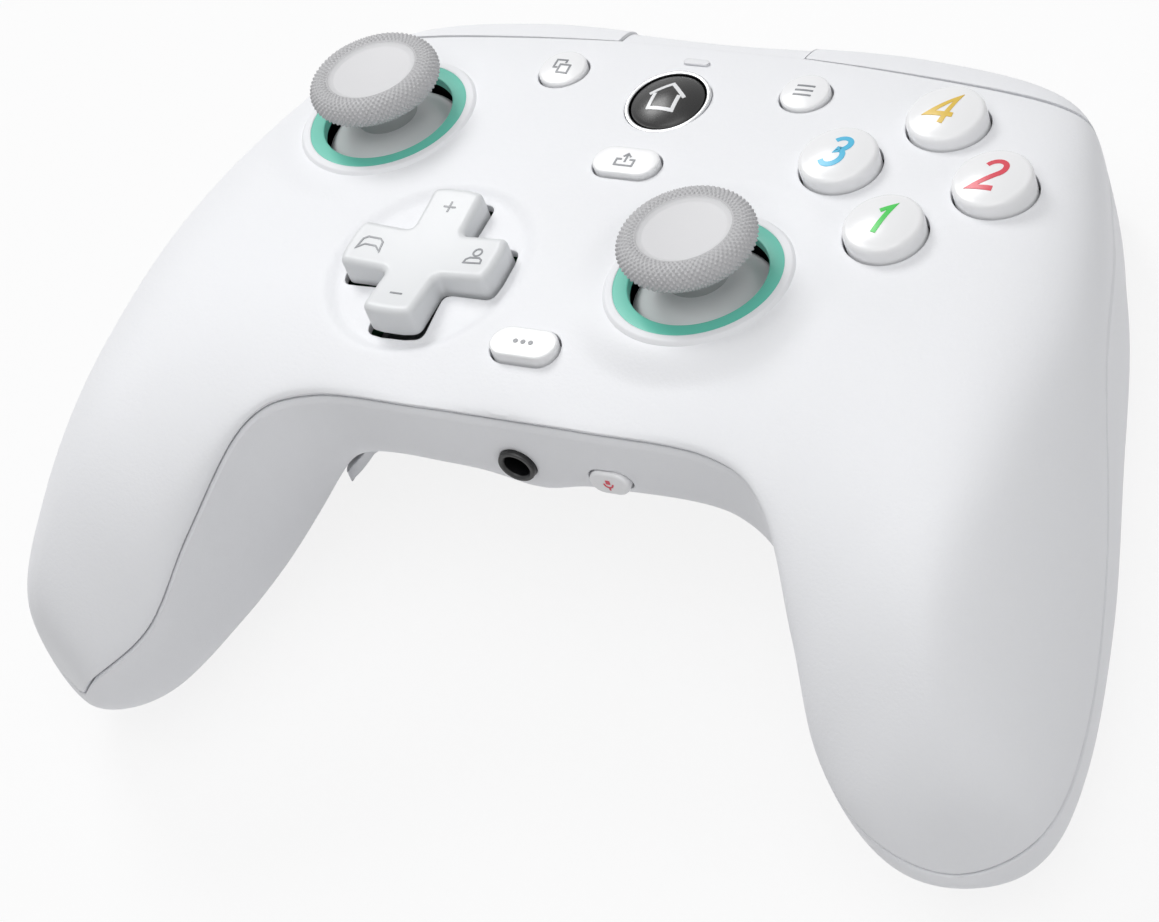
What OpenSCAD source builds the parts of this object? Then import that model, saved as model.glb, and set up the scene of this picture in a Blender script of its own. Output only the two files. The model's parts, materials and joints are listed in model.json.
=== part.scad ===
// Wired gamepad controller: two lofted shells, two thumbsticks on yoke modules, a rocking
// direction pad, spring-back buttons, bumpers, triggers and back paddles, in millimetres.
// Everything is drawn in the frame of the face (z = 0 on the face, +Y away from the player)
// and then tilted by rest_tilt, so that the pad stands on its grips and its rear pad.

/* [Body] */
// Width over both grips
body_w = 153; // [147:1:160]
// Back edge of the body, from the middle of the face
back_y = 38.5; // [37.5:0.5:41]
// Front edge between the grips, from the middle of the face
front_y = 35; // [34.5:0.5:38]
// Reach of the grips toward the player, from the middle of the face
grip_reach = 66.5; // [62:0.5:72]
// Depth of the seam at the grip tips, below the face
grip_drop = 41.5; // [39:0.5:45]
// Depth of the undersides of the grips, below the face
grip_depth = 54; // [52:0.5:58]
// Depth of the rear hump, below the face
hump_depth = 40; // [39:0.5:43]
// Height of the front wall, from the face down
front_wall_h = 21; // [20:0.5:24]
// Wall of both shells
wall = 2; // [1.6:0.1:2.4]
// Tilt of the face when the pad stands on a table, in degrees
rest_tilt = 11.5; // [10.5:0.5:12.5]

/* [Sticks] */
// Left stick, across
stick_l_x = -40.5; // [-43:0.5:-39]
// Left stick, along
stick_l_y = 12.5; // [10:0.5:14]
// Right stick, across
stick_r_x = 18.5; // [17:0.5:21]
// Right stick, along
stick_r_y = -10.5; // [-12:0.5:-9]
// Radius of the coloured ring round a stick
ring_r = 11.2; // [10.6:0.1:12]
// Width of that ring
ring_w = 2; // [1.5:0.1:2.4]
// Radius of the thumb cap
cap_r = 9.6; // [8.5:0.1:10.2]
// Height of the thumb cap's rim above the face
cap_h = 8.6; // [8:0.1:11]
// Depth of the stick's pivot below the face
pivot_d = 9.5; // [9.3:0.1:9.8]

/* [Buttons] */
// Middle of the four action buttons, across
action_x = 39.5; // [38:0.5:41]
// Middle of the four action buttons, along
action_y = 12; // [10:0.5:13]
// Distance of each action button from their middle
action_pitch = 10.6; // [10:0.1:11.4]
// Radius of an action button
action_r = 5.3; // [4.6:0.1:5.8]
// Height of an action button above the face
action_h = 2.8; // [2.2:0.1:4]
// Distance of the two small round buttons from the centre line
small_x = 18.4; // [17:0.1:20]
// Place of the two small round buttons, along
small_y = 24.5; // [23:0.5:26]
// Radius of a small round button
small_r = 3.4; // [2.8:0.1:3.8]
// Place of the home button, along
home_y = 20; // [19:0.5:21]
// Radius of the home button's ring
home_r = 6; // [5:0.1:6.5]
// Length of the two pill buttons
pill_l = 9.6; // [8:0.1:11]
// Width of the two pill buttons
pill_w = 5; // [4:0.1:5.6]
// Place of the share pill, along
share_y = 7.2; // [6:0.1:9]
// Place of the mode pill, along
mode_y = -25.8; // [-26.5:0.1:-24]
// Direction pad, across
dpad_x = -20; // [-22:0.5:-19]
// Direction pad, along
dpad_y = -14.4; // [-16:0.1:-13.5]
// Half length of the direction pad's arms
dpad_l = 11; // [10:0.1:11.6]
// Width of the direction pad's arms
dpad_w = 7.6; // [7:0.1:8.4]
// Height of the direction pad above the face
dpad_h = 2.7; // [2.2:0.1:4]

/* [Shoulders] */
// Middle of each trigger, across
trigger_x = 40.5; // [39.5:0.5:41.5]
// Width of a trigger
trigger_w = 20; // [18:0.2:20.4]
// Radius of a trigger's hinge pin
pin_r = 1; // [0.8:0.1:1.3]
// Half width of the bridge between the bumpers
bridge_w = 14; // [12:0.5:15]
// Depth of the bumpers, below the face
bumper_d = 12.5; // [11.5:0.1:13]

/* [Clearances] */
// Gap between moving pieces and the shells
gap = 0.3; // [0.25:0.05:0.4]
// Running clearance of pins and shafts, on the radius
run_fit = 0.05; // [0.03:0.01:0.08]

/* [Hidden] */
$fn = 48;
seam_gap = gap;
half_w = body_w / 2;
stations = 22;
arc_steps = 14;
e_step = 0.05;

// Seam of the right half, from the back centre round the grip's tip to the front centre
tip_index = 8;
seam = [
    [0, back_y - 2, -7.5],
    [29.5, back_y, -10.5],
    [half_w - 25, back_y - 3.5, -14],
    [half_w - 15.5, 19, -15],
    [half_w - 8.5, -3, -15],
    [half_w - 3.5, -23.5, 13.5 - grip_drop],
    [half_w - 0.5, 23.5 - grip_reach, 5.5 - grip_drop],
    [half_w - 1.5, 9.5 - grip_reach, 2.5 - grip_drop],
    [half_w - 10.5, 3 - grip_reach, -grip_drop],
    [half_w - 18.5, -grip_reach, 8 - grip_drop],
    [half_w - 27, 6 - grip_reach, 14 - grip_drop],
    [half_w - 32, 15.5 - grip_reach, 23.5 - grip_drop],
    [half_w - 38.5, -front_y - 4.5, -8],
    [29, -front_y, -5.5],
    [12, -front_y - 0.5, -4],
    [0, -front_y, -4.5]
];
// Squareness of the sections, and depth of the underside along the front and the back,
// at five places from the centre line to the grip's tip
top_square = [5.5, 5, 2.7, 1.7, 2];
rear_square = [5, 3.8, 3.2, 2.1, 2.2];
front_depth = [front_wall_h, front_wall_h + 2.5, grip_depth - 11, grip_depth - 5, grip_depth - 4.5];
back_depth = [hump_depth, hump_depth + 0.5, grip_depth - 6.5, grip_depth, grip_depth - 1];
top_tuck = 0.39;
rear_tuck = 0.29;
crown_x = 0.0007;
crown_y = 0.0021;
droop = 13;
droop_y = -10;
droop_l = 54;
// The front wall's lower edge dips round the jack
dip = 2.2;
dip_w = 5.2;

// A smooth curve through points, and its place a distance inside the seam
function mirrored(p) = is_list(p) ? [-p[0], p[1], p[2]] : p;
function blend4(a, b, c, d, f) =
    0.5 * (2 * b + (c - a) * f + (2 * a - 5 * b + 4 * c - d) * f * f
    + (3 * b - a - 3 * c + d) * f * f * f);
function along(p, t) =
    let (n = len(p), i = min(max(floor(t), 0), n - 2))
    let (a = i == 0 ? mirrored(p[1]) : p[i - 1])
    let (d = i < n - 2 ? p[i + 2] : is_list(p[0]) ? mirrored(p[n - 2]) : 2 * p[n - 1] - p[n - 2])
    blend4(a, p[i], p[i + 1], d, t - i);
function knot(v, u) = along(v, u * (len(v) - 1));
function seam_at(t, inset) =
    let (p = along(seam, t), n = len(seam) - 1)
    let (g = along(seam, min(t + e_step, n)) - along(seam, max(t - e_step, 0)))
    let (l = norm([g[0], g[1]]))
    p + inset * [g[1] / l, -g[0] / l, 0];
function outer_at(u, inset) = seam_at(u * tip_index, inset);
function inner_at(u, inset) =
    seam_at(len(seam) - 1 - u * (len(seam) - 1 - tip_index), inset);

// Height of the face over a point
function face_z(x, y) =
    -crown_x * x * x - crown_y * pow(max(y, 0), 2) - droop * pow(max((droop_y - y) / droop_l, 0), 2);
function tuck(u, l) = sin(90 * min((1 - u) / l, 1));
function bend(c, e) = sign(c) * pow(abs(c), e);

// Points of one section, from the front seam to the back seam, over the top or underneath
function top_arc(u, inset, side) =
    let (o = outer_at(u, inset), i = inner_at(u, inset), e = 2 / knot(top_square, u))
    [for (k = [0 : arc_steps])
        let (a = 180 * k / arc_steps, m = (1 - bend(cos(a), e)) / 2, p = i * (1 - m) + o * m)
        let (h = (face_z(p[0], p[1]) - p[2]) * tuck(u, top_tuck))
        [side * p[0], p[1], p[2] + max(h - inset, 0.2) * pow(abs(sin(a)), e)]];
function rear_arc(u, inset, side, drop) =
    let (o = outer_at(u, inset), i = inner_at(u, inset), e = 2 / knot(rear_square, u))
    let (f = knot(front_depth, u) + dip * exp(-pow(i[0] / dip_w, 2)), b = knot(back_depth, u))
    [for (k = [0 : arc_steps])
        let (a = 180 * k / arc_steps, m = (1 - bend(cos(a), e)) / 2, p = i * (1 - m) + o * m)
        let (h = (p[2] + f * (1 - m) + b * m) * tuck(u, rear_tuck))
        [side * p[0], p[1], p[2] - drop - max(h - inset - drop, 0.2) * pow(abs(sin(a)), e)]];
function reversed(v) = [for (k = [len(v) - 1 : -1 : 0]) v[k]];
function station(j) = 1 - pow(1 - abs(j) / stations, 1.35);
function tip_at(inset, side, drop) =
    let (p = seam_at(tip_index, inset))
    [side * p[0], p[1], p[2] - drop];

// A closed skin over rings of points that end in a pair of points at each grip tip:
// the first half of a ring runs to the first point of the pair, the rest to the second
module skin(rings, tips, half) {
    r = len(rings);
    n = len(rings[0]);
    points = concat([for (ring = rings) each ring], tips);
    first = r * n;
    function tip(side, k) = first + 2 * side + (k < half ? 0 : 1);
    sides = [for (j = [0 : r - 2], k = [0 : n - 1])
        let (a = j * n + k, b = j * n + (k + 1) % n)
        each [[a, b, b + n], [a, b + n, a + n]]];
    left = [for (k = [0 : n - 1])
        let (q = (k + 1) % n)
        each concat([[tip(0, k), q, k]], tip(0, k) == tip(0, q) ? [] : [[tip(0, k), tip(0, q), q]])];
    right = [for (k = [0 : n - 1])
        let (q = (k + 1) % n, a = (r - 1) * n)
        each concat([[a + k, a + q, tip(1, q)]],
            tip(1, k) == tip(1, q) ? [] : [[a + k, tip(1, q), tip(1, k)]])];
    polyhedron(points, concat(sides, left, right), convexity = 6);
}
station_list = [for (j = [1 - stations : stations - 1]) j];
function side_of(j) = j < 0 ? -1 : 1;

// Front half of the body as a wall of even thickness
module top_skin() {
    rings = [for (j = station_list)
        concat(top_arc(station(j), 0, side_of(j)), reversed(top_arc(station(j), wall, side_of(j))))];
    tips = [for (s = [-1, 1]) each [tip_at(0, s, 0), tip_at(wall, s, 0)]];
    skin(rings, tips, arc_steps + 1);
}

// Rear half of the body as a wall of even thickness, a seam's gap below the front half
module rear_skin() {
    rings = [for (j = station_list)
        concat(reversed(rear_arc(station(j), 0, side_of(j), seam_gap)),
            rear_arc(station(j), wall, side_of(j), seam_gap))];
    tips = [for (s = [-1, 1]) each [tip_at(0, s, seam_gap), tip_at(wall, s, seam_gap)]];
    skin(rings, tips, arc_steps + 1);
}

// A length of the body as one solid between two stations, with flat ends, shrunk by one inset
// above the seam and another below it, or grown by negative ones; a step of 2 skips every other station
module body_part(from, to, inset, rear_inset, step = 1) {
    rings = [for (j = [from : step : to])
        let (edge = top_arc(station(j), max(inset, rear_inset), side_of(j)))
        let (over = top_arc(station(j), inset, side_of(j)))
        let (under = rear_arc(station(j), rear_inset, side_of(j), 0))
        [for (k = [0 : 2 * arc_steps - 1])
            k % arc_steps == 0 ? edge[k] : k < arc_steps ? over[k] : under[2 * arc_steps - k]]];
    middles = [for (ring = [rings[0], rings[len(rings) - 1]]) (ring[0] + ring[arc_steps]) / 2];
    skin(rings, [for (m = middles) each [m, m]], 2 * arc_steps);
}

// Standing place: the lowest point of the body is at z = 0, and the rear pad's middle at y = 0
function stood(p) =
    [p[0], p[1] * cos(rest_tilt) + p[2] * sin(rest_tilt), p[2] * cos(rest_tilt) - p[1] * sin(rest_tilt)];
lowest = min([for (j = [0 : stations - 1]) for (p = rear_arc(station(j), 0, 1, seam_gap)) stood(p)[2]]);
pad_y = 25;
pad_w = 36;
pad_l = 12;
pad_shift = stood([0, pad_y, -hump_depth])[1];
pad_front = pad_y - pad_l / 2;
hump_under = lookup(pad_front, [for (p = rear_arc(0, 0, 1, seam_gap)) [p[1], p[2]]]);
pad_h = stood([0, pad_front, hump_under])[2] - lowest + wall;
pad_round = 4;
module place() {
    translate([0, -pad_shift, -lowest]) rotate([-rest_tilt, 0, 0]) children();
}

// Layout inside the body
bridge_y = 33;
board_z = -15;
board_t = 1.2;
board_back = 25.3;
board_front = 6.5 - front_y;
board_neck = 27;
// Right half of the main board's outline, from the bridge round to the front
board_half = [
    [board_neck, bridge_y - 1],
    [board_neck, board_back],
    [half_w - 26.5, board_back],
    [half_w - 23.5, 20],
    [half_w - 23.5, 6],
    [half_w - 30.5, -2],
    [half_w - 30.5, -18],
    [half_w - 36.5, board_front + 2.5],
    [20, board_front]
];
front_board_w = 18;
front_board_l = 10.4;
mute_switch = [5, 5, 4.4];
mode_switch_h = 2.4;
switch_h = 3;
flange_t = 1;
flange_w = 1.1;
face_gap = gap;
hole_low = 8;
hole_top = 12;
ring_lip = 1.4;
press = 1.4;
small_press = 0.8;
switch_top = board_z + switch_h;
action_spots = [
    [action_x, action_y - action_pitch],
    [action_x + action_pitch, action_y],
    [action_x - action_pitch, action_y],
    [action_x, action_y + action_pitch]
];
dome_h = 2;
pad_t = 1;
board_posts = [[24, 3.5], [-24, 3.5], [34.5, -21], [-34.5, -21]];
post_r = 2;
screw_r = 0.8;
screw_head_r = 1.7;
screw_head_h = 1.2;
shell_posts = [[54, -12, -25], [-54, -12, -25], [63, -47, -34], [-63, -47, -34]];
shell_post_r = 3;
front_post = [7, -21.5];
front_post_r = 1.6;
last_ring = stations - 1;
shoulder_ring = 12;
shell_screw_r = 1.2;
shell_head_r = 2.2;
shell_head_h = 1.6;
boss_l = 3;

// Stick module, measured from the pivot
rim_w = 1.9;
rim_h = 2.25;
dish_low = 1;
cap_core = 3.6;
dome_r = 12.3;
dome_t = 1.2;
dome_edge = 60;
neck_r = 4.2;
collar_w = 1.3;
collar_h = 0.6;
shaft_r = 1.2;
socket_r = 2;
socket_low = 8.4;
hub_r = 2.6;
hub_h = 2.2;
yoke_in = 3.2;
yoke_out = 4.6;
yoke_h = 1.6;
trunnion_r = 1;
arch_in = 5.2;
arch_out = 6.2;
arch_w = 2.6;
slot_x = shaft_r + 0.3;
slot_y = 2.9;
frame_half = 7.6;
frame_r = 9.4;
frame_in = 7;
frame_top = 3;
frame_floor = 3.4;
sticks = [[stick_l_x, stick_l_y], [stick_r_x, stick_r_y]];

// Small face pieces
lens_y = 29;
lens_l = 3.8;
lens_w = 1;
home_rim = 0.6;
pad_side = 28;
dpad_pad_side = 22.4;
dome_r1 = 2.6;
dome_r2 = 2;

// Direction pad's gimbal, measured from its pivot
dpad_pivot = 4;
dpad_gap = 0.9;
dpad_round = 1;
dpad_skirt = 1.6;
dish_r = 15.5;
dish_d = 0.8;
gimbal_in = 2.6;
gimbal_out = 4;
gimbal_h = 1.5;
gimbal_pin = 0.9;
lug_y = gimbal_out + gap;
lug_t = 1.6;
dpad_leg_r = 1.6;
dpad_leg_d = 8;
dpad_travel = 1.2;

// Shoulders
trigger_y = 29;
trigger_z = -16.5;
trigger_hub_r = 2.6;
trigger_top = -bumper_d - 2 * gap;
trigger_low = -32;
trigger_round = 5;
trigger_skin = 2;
trigger_drop = 5;
ear_t = 2;
ear_low = -20;
bumper_pin_r = 0.8;
bumper_pin = [bridge_w + 3.5, back_y - 4.2];
bumper_swing = 1;
bridge_d = 20;
bridge_wall = 1.2;
usb_w = 9;
usb_h = 3.2;
usb_l = 6.3;
usb_z = board_z + usb_h / 2;
usb_wall = 0.35;
jack_r = 2.6;
jack_bore = 1.8;
jack_z = -12.5;
mute_x = 13.5;
mute_z = -12.8;
mute_w = 5.6;
mute_h = 3.8;
paddle_x = 37;
paddle_y = -13;
paddle_l = 22;
paddle_w = 9;
paddle_turn = 18;
paddle_t = 2;
paddle_gap = 1.3;
paddle_stem_r = 2;
motor_x = 60;
motor_y = -27;
motor_z = -23;
motor_r = 6;
motor_l = 9;
weight_l = 4;
weight_r = 5.6;
cradle_t = 2;
front_board_z = -8.5;

// Small shapes that repeat
module pill(l, w, h) {
    translate([-(l - w) / 2, -w / 2, 0]) cube([l - w, w, h]);
    for (s = [-1, 1]) translate([s * (l - w) / 2, 0, 0]) cylinder(r = w / 2, h = h);
}
module round_box(l, w, h, r) {
    translate([-l / 2 + r, -w / 2, 0]) cube([l - 2 * r, w, h]);
    translate([-l / 2, -w / 2 + r, 0]) cube([l, w - 2 * r, h]);
    for (x = [-1, 1], y = [-1, 1])
        translate([x * (l / 2 - r), y * (w / 2 - r), 0]) cylinder(r = r, h = h);
}
module on_face(p, z = 0) {
    translate([p[0], p[1], face_z(p[0], p[1]) + z]) children();
}
module both_sides() {
    children();
    mirror([1, 0, 0]) children();
}
module x_rod(r, l) {
    rotate([0, 90, 0]) cylinder(r = r, h = l, center = true);
}
module y_rod(r, l) {
    rotate([90, 0, 0]) cylinder(r = r, h = l, center = true);
}

// Plan of a shoulder's bumper, grown by a clearance
module bumper_zone(clear, swing) {
    far = 60;
    outer_y = bridge_y - 2;
    translate([0, 0, -bumper_d - clear]) linear_extrude(far) polygon([
        [bridge_w + gap - clear, bridge_y - clear],
        [half_w - 24.5, outer_y - clear + swing],
        [half_w - 14, outer_y - clear + swing],
        [half_w + 10, outer_y - clear + swing],
        [half_w + 10, far],
        [bridge_w + gap - clear, far]
    ]);
}
module bridge_zone(clear) {
    translate([-bridge_w - clear, bridge_y - clear, -bridge_d - clear])
        cube([2 * (bridge_w + clear), 40, bridge_d + 20]);
}
module trigger_zone(clear) {
    translate([trigger_x - trigger_w / 2 - clear, trigger_y - 8, trigger_low - trigger_drop])
        cube([trigger_w + 2 * clear, 40, trigger_top - trigger_low + trigger_drop + clear]);
}
module dpad_cross(w, l, h, r) {
    round_box(2 * l, w, h, r);
    round_box(w, 2 * l, h, r);
}

// Fixed pieces
module front_shell() {
    color("white") place() difference() {
        union() {
            top_skin();
            for (p = sticks) on_face(p) stick_collar();
            intersection() {
                union() {
                    for (p = board_posts) post(p, post_r, board_z);
                    for (p = shell_posts) post(p, shell_post_r, p[2]);
                    for (s = [-1, 1]) post([s * front_post[0], front_post[1]], front_post_r, front_board_z);
                    both_sides() trigger_ears();
                    both_sides() motor_cradle();
                }
                body_part(-last_ring, last_ring, wall / 2, wall + gap, 2);
            }
        }
        for (p = sticks) on_face(p) stepped_hole(ring_r + run_fit, ring_lip);
        for (p = action_spots) on_face(p) stepped_hole(action_r + gap, flange_w);
        for (s = [-1, 1]) on_face([s * small_x, small_y]) stepped_hole(small_r + gap, flange_w);
        on_face([0, home_y]) stepped_hole(home_r + run_fit, flange_w);
        for (y = [share_y, mode_y]) on_face([0, y]) stepped_pill();
        on_face([0, lens_y], -8) pill(lens_l + 2 * run_fit, lens_w + 2 * run_fit, 20);
        on_face([dpad_x, dpad_y], -8)
            dpad_cross(dpad_w + 2 * dpad_gap, dpad_l + dpad_gap, 20, dpad_round + dpad_gap);
        on_face([dpad_x, dpad_y]) dpad_dish();
        for (p = board_posts) translate([p[0], p[1], board_z - 1]) cylinder(r = screw_r, h = 7);
        for (p = shell_posts) translate([p[0], p[1], p[2] - 1]) cylinder(r = shell_screw_r, h = 9);
        both_sides() bumper_zone(gap, 0);
        both_sides() trigger_zone(gap);
        both_sides() translate([trigger_x, trigger_y, trigger_z]) x_rod(pin_r, 2 * trigger_w);
        both_sides() translate([motor_x, motor_y, motor_z]) y_rod(motor_r + run_fit, 40);
        bridge_zone(gap);
    }
}
module stepped_hole(r, step) {
    translate([0, 0, -hole_low]) cylinder(r = r, h = hole_low + hole_top);
    translate([0, 0, -hole_low]) cylinder(r = r + step, h = hole_low - wall);
}
module stepped_pill() {
    l = pill_l + 2 * gap;
    w = pill_w + 2 * gap;
    translate([0, 0, -hole_low]) pill(l, w, hole_low + hole_top);
    translate([0, 0, -hole_low]) pill(l + 2 * flange_w, w + 2 * flange_w, hole_low - wall);
}
module stick_collar() {
    rotate_extrude() polygon([
        [ring_r - 0.5, -wall],
        [ring_r + collar_w, -wall],
        [ring_r + collar_w, collar_h - 0.4],
        [ring_r + collar_w - 0.4, collar_h],
        [ring_r - 0.5, collar_h]
    ]);
}
module post(p, r, low) {
    translate([p[0], p[1], low]) cylinder(r = r, h = -low);
}
module trigger_ears() {
    for (s = [-1, 1])
        translate([trigger_x + s * (trigger_w / 2 + gap + ear_t / 2) - ear_t / 2, trigger_y - 3.5, ear_low])
            cube([ear_t, 7, -ear_low]);
}
module motor_cradle() {
    for (s = [-1, 1])
        translate([motor_x - motor_r, motor_y + s * (motor_l / 2 - 1) - cradle_t / 2, motor_z])
            cube([2 * motor_r, cradle_t, -motor_z]);
}
module dpad_dish() {
    rotate_extrude() polygon([[0, -dish_d], [dish_r - 3, -dish_d], [dish_r, 0.6], [dish_r, 5], [0, 5]]);
}

module rear_shell() {
    color("white") difference() {
        union() {
            place() difference() {
                union() {
                    rear_skin();
                    intersection() {
                        union() {
                            for (p = shell_posts) translate([p[0], p[1], -70])
                                cylinder(r = shell_post_r, h = 70 + p[2]);
                            both_sides() translate([bumper_pin[0], bumper_pin[1], -bumper_d - gap - 6])
                                cylinder(r = 2, h = 6);
                        }
                        body_part(-last_ring, last_ring, wall + gap, wall / 4, 2);
                    }
                }
                for (p = shell_posts) translate([p[0], p[1], -80])
                    cylinder(r = shell_head_r + gap, h = 80 + p[2] - boss_l);
                for (p = shell_posts) translate([p[0], p[1], -30 + p[2]])
                    cylinder(r = shell_screw_r + run_fit, h = 40);
                translate([0, -front_y, jack_z]) y_rod(jack_r + run_fit, 24);
                translate([mute_x, -front_y + 10, mute_z]) rotate([90, 0, 0])
                    pill(mute_w + 2 * gap, mute_h + 2 * gap, 24);
                both_sides() bumper_zone(gap, 0);
                both_sides() trigger_zone(gap);
                both_sides() translate([bumper_pin[0], bumper_pin[1], -bumper_d - 5])
                    cylinder(r = bumper_pin_r, h = 10);
                bridge_zone(gap);
                both_sides() translate([paddle_x, paddle_y, -70])
                    cylinder(r = paddle_stem_r + gap, h = 60);
            }
            round_box(pad_w, pad_l, pad_h, pad_round);
        }
        translate([-100, -150, -10]) cube([200, 300, 10]);
    }
}
module top_bridge() {
    color("gainsboro") place() difference() {
        intersection() {
            body_part(-6, 6, 0, 0);
            bridge_zone(0);
        }
        translate([0, 60, usb_z]) rotate([90, 0, 0])
            translate([0, -usb_h / 2 - gap, 0]) usb_outline(usb_w + 2 * gap, usb_h + 2 * gap, 40);
        translate([-bridge_w + 2, bridge_y - 1, -bridge_d - 1])
            cube([2 * bridge_w - 4, 1 + bridge_wall, bridge_d - 9]);
    }
}
module usb_outline(l, w, h) {
    translate([0, w / 2, 0]) pill(l, w, h);
}
module stick_ring(p) {
    color("mediumaquamarine") place() on_face(p) rotate_extrude() polygon([
        [ring_r - ring_w, -0.7],
        [ring_r - ring_w, 0.1],
        [ring_r - ring_w / 2, 0.4],
        [ring_r, 0.4],
        [ring_r, -wall],
        [ring_r + ring_lip - 0.2, -wall],
        [ring_r + ring_lip - 0.2, -wall - 0.8],
        [ring_r - 0.4, -wall - 0.8],
        [ring_r - 0.4, -0.7]
    ]);
}
module home_ring() {
    color("silver") place() on_face([0, home_y]) difference() {
        translate([0, 0, -wall - 1]) cylinder(r = home_r, h = wall + 1.3);
        translate([0, 0, -wall - 2]) cylinder(r = home_r - home_rim, h = wall + 4);
    }
}
module status_lens() {
    color("ghostwhite") place() on_face([0, lens_y]) {
        translate([0, 0, -wall - 0.5]) pill(lens_l, lens_w, wall + 0.6);
        low = board_z - face_z(0, lens_y);
        translate([0, 0, low]) cylinder(r = lens_w / 2, h = -wall - 0.5 - low);
    }
}
module main_board() {
    color("darkgreen") place() difference() {
        translate([0, 0, board_z - board_t]) linear_extrude(board_t)
            polygon(concat(board_half, [for (p = reversed(board_half)) [-p[0], p[1]]]));
        for (p = board_posts) translate([p[0], p[1], board_z - 5]) cylinder(r = screw_r + 0.2, h = 10);
    }
}
module front_board() {
    color("darkgreen") place() translate([-front_board_w / 2, board_front - 0.9, front_board_z - board_t])
        cube([front_board_w, front_board_l, board_t]);
}
module board_screws() {
    color("dimgray") place() {
        for (p = board_posts) translate([p[0], p[1], board_z - board_t])
            screw_up(screw_r, screw_head_r, screw_head_h, board_t + 5);
    }
}
module screw_up(r, head_r, head_h, l) {
    translate([0, 0, -head_h]) cylinder(r = head_r, h = head_h);
    cylinder(r = r, h = l);
}
module shell_screws() {
    color("dimgray") place() {
        for (p = shell_posts) translate([p[0], p[1], p[2] - boss_l])
            screw_up(shell_screw_r, shell_head_r, shell_head_h, boss_l + 7);
    }
}
module tact_switch(p, h = switch_h) {
    translate([p[0], p[1], 0]) {
        translate([-2.5, -2.5, 0]) cube([5, 5, h - 0.8]);
        cylinder(r = 1.2, h = h);
    }
}
module tact_switches() {
    color("silver") place() {
        translate([0, 0, board_z]) {
            for (s = [-1, 1]) tact_switch([s * small_x, small_y]);
            tact_switch([0, home_y]);
            tact_switch([0, share_y]);
        }
        translate([0, 0, front_board_z]) tact_switch([0, mode_y], mode_switch_h);
        translate([mute_x - mute_switch[0] / 2, board_front + 0.5, board_z]) cube(mute_switch);
        for (s = [-1, 1]) translate([s * paddle_x, paddle_y, board_z - board_t]) rotate([180, 0, 0])
            tact_switch([0, 0]);
    }
}
module action_pad() {
    color("darkgray") place() translate([0, 0, board_z]) {
        intersection() {
            translate([action_x, action_y, 0]) rotate(45) round_box(pad_side, pad_side, pad_t, 4);
            translate([0, 0, -1]) cube([half_w - 23.5, board_back, 5]);
        }
        for (p = action_spots) translate([p[0], p[1], pad_t - 0.05])
            cylinder(r1 = dome_r1, r2 = dome_r2, h = dome_h);
    }
}
module dpad_pad() {
    color("darkgray") place() translate([dpad_x, dpad_y, board_z]) {
        difference() {
            round_box(dpad_pad_side, dpad_pad_side, pad_t, 3);
            translate([0, 0, -1]) cylinder(r = 3, h = 5);
        }
        for (a = [0 : 90 : 270]) rotate(a) translate([dpad_leg_d, 0, pad_t - 0.05])
            cylinder(r1 = dome_r1, r2 = dome_r2, h = dome_h);
    }
}
module usb_socket() {
    color("silver") place() translate([0, bridge_y - 3, board_z]) rotate([-90, 0, 0]) {
        translate([0, -usb_h, 0]) difference() {
            usb_outline(usb_w, usb_h, usb_l);
            translate([0, usb_wall, 1]) usb_outline(usb_w - 2 * usb_wall, usb_h - 2 * usb_wall, 20);
        }
        translate([-3.3, -usb_h / 2 - 0.35, 0.5]) cube([6.6, 0.7, usb_l - 1.5]);
    }
}
module audio_jack() {
    color("black") place() translate([0, -front_y, jack_z]) difference() {
        union() {
            translate([0, 2.2, 0]) y_rod(jack_r, 6);
            translate([-4, 5, board_z - jack_z]) cube([8, 10, 5]);
        }
        translate([0, 2, 0]) y_rod(jack_bore, 24);
    }
}
module dpad_post() {
    z = face_z(dpad_x, dpad_y) - dpad_pivot;
    color("gray") place() translate([dpad_x, dpad_y, z]) {
        translate([0, 0, board_z - z]) cylinder(r = 1.6, h = z - board_z + 1);
        x_rod(gimbal_pin, 2 * gimbal_out - 0.4);
    }
}
module trigger_pins() {
    color("silver") place() both_sides() translate([trigger_x, trigger_y, trigger_z])
        x_rod(pin_r, trigger_w + 2 * gap + 2 * ear_t);
}
module bumper_pins() {
    color("silver") place() both_sides() translate([bumper_pin[0], bumper_pin[1], -bumper_d - 5])
        cylinder(r = bumper_pin_r, h = 8);
}
module motor(s) {
    color("silver") place() translate([s * motor_x, motor_y, motor_z]) {
        y_rod(motor_r, motor_l);
        translate([0, -motor_l / 2 - weight_l / 2, 0]) y_rod(1, weight_l + 1);
    }
}
module weight(s) {
    color("dimgray") place() translate([s * motor_x, motor_y - motor_l / 2 - gap - weight_l / 2, motor_z])
        difference() {
            y_rod(weight_r, weight_l);
            y_rod(1 + run_fit, 20);
            translate([-10, -10, 1.8]) cube([20, 20, 20]);
        }
}

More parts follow.
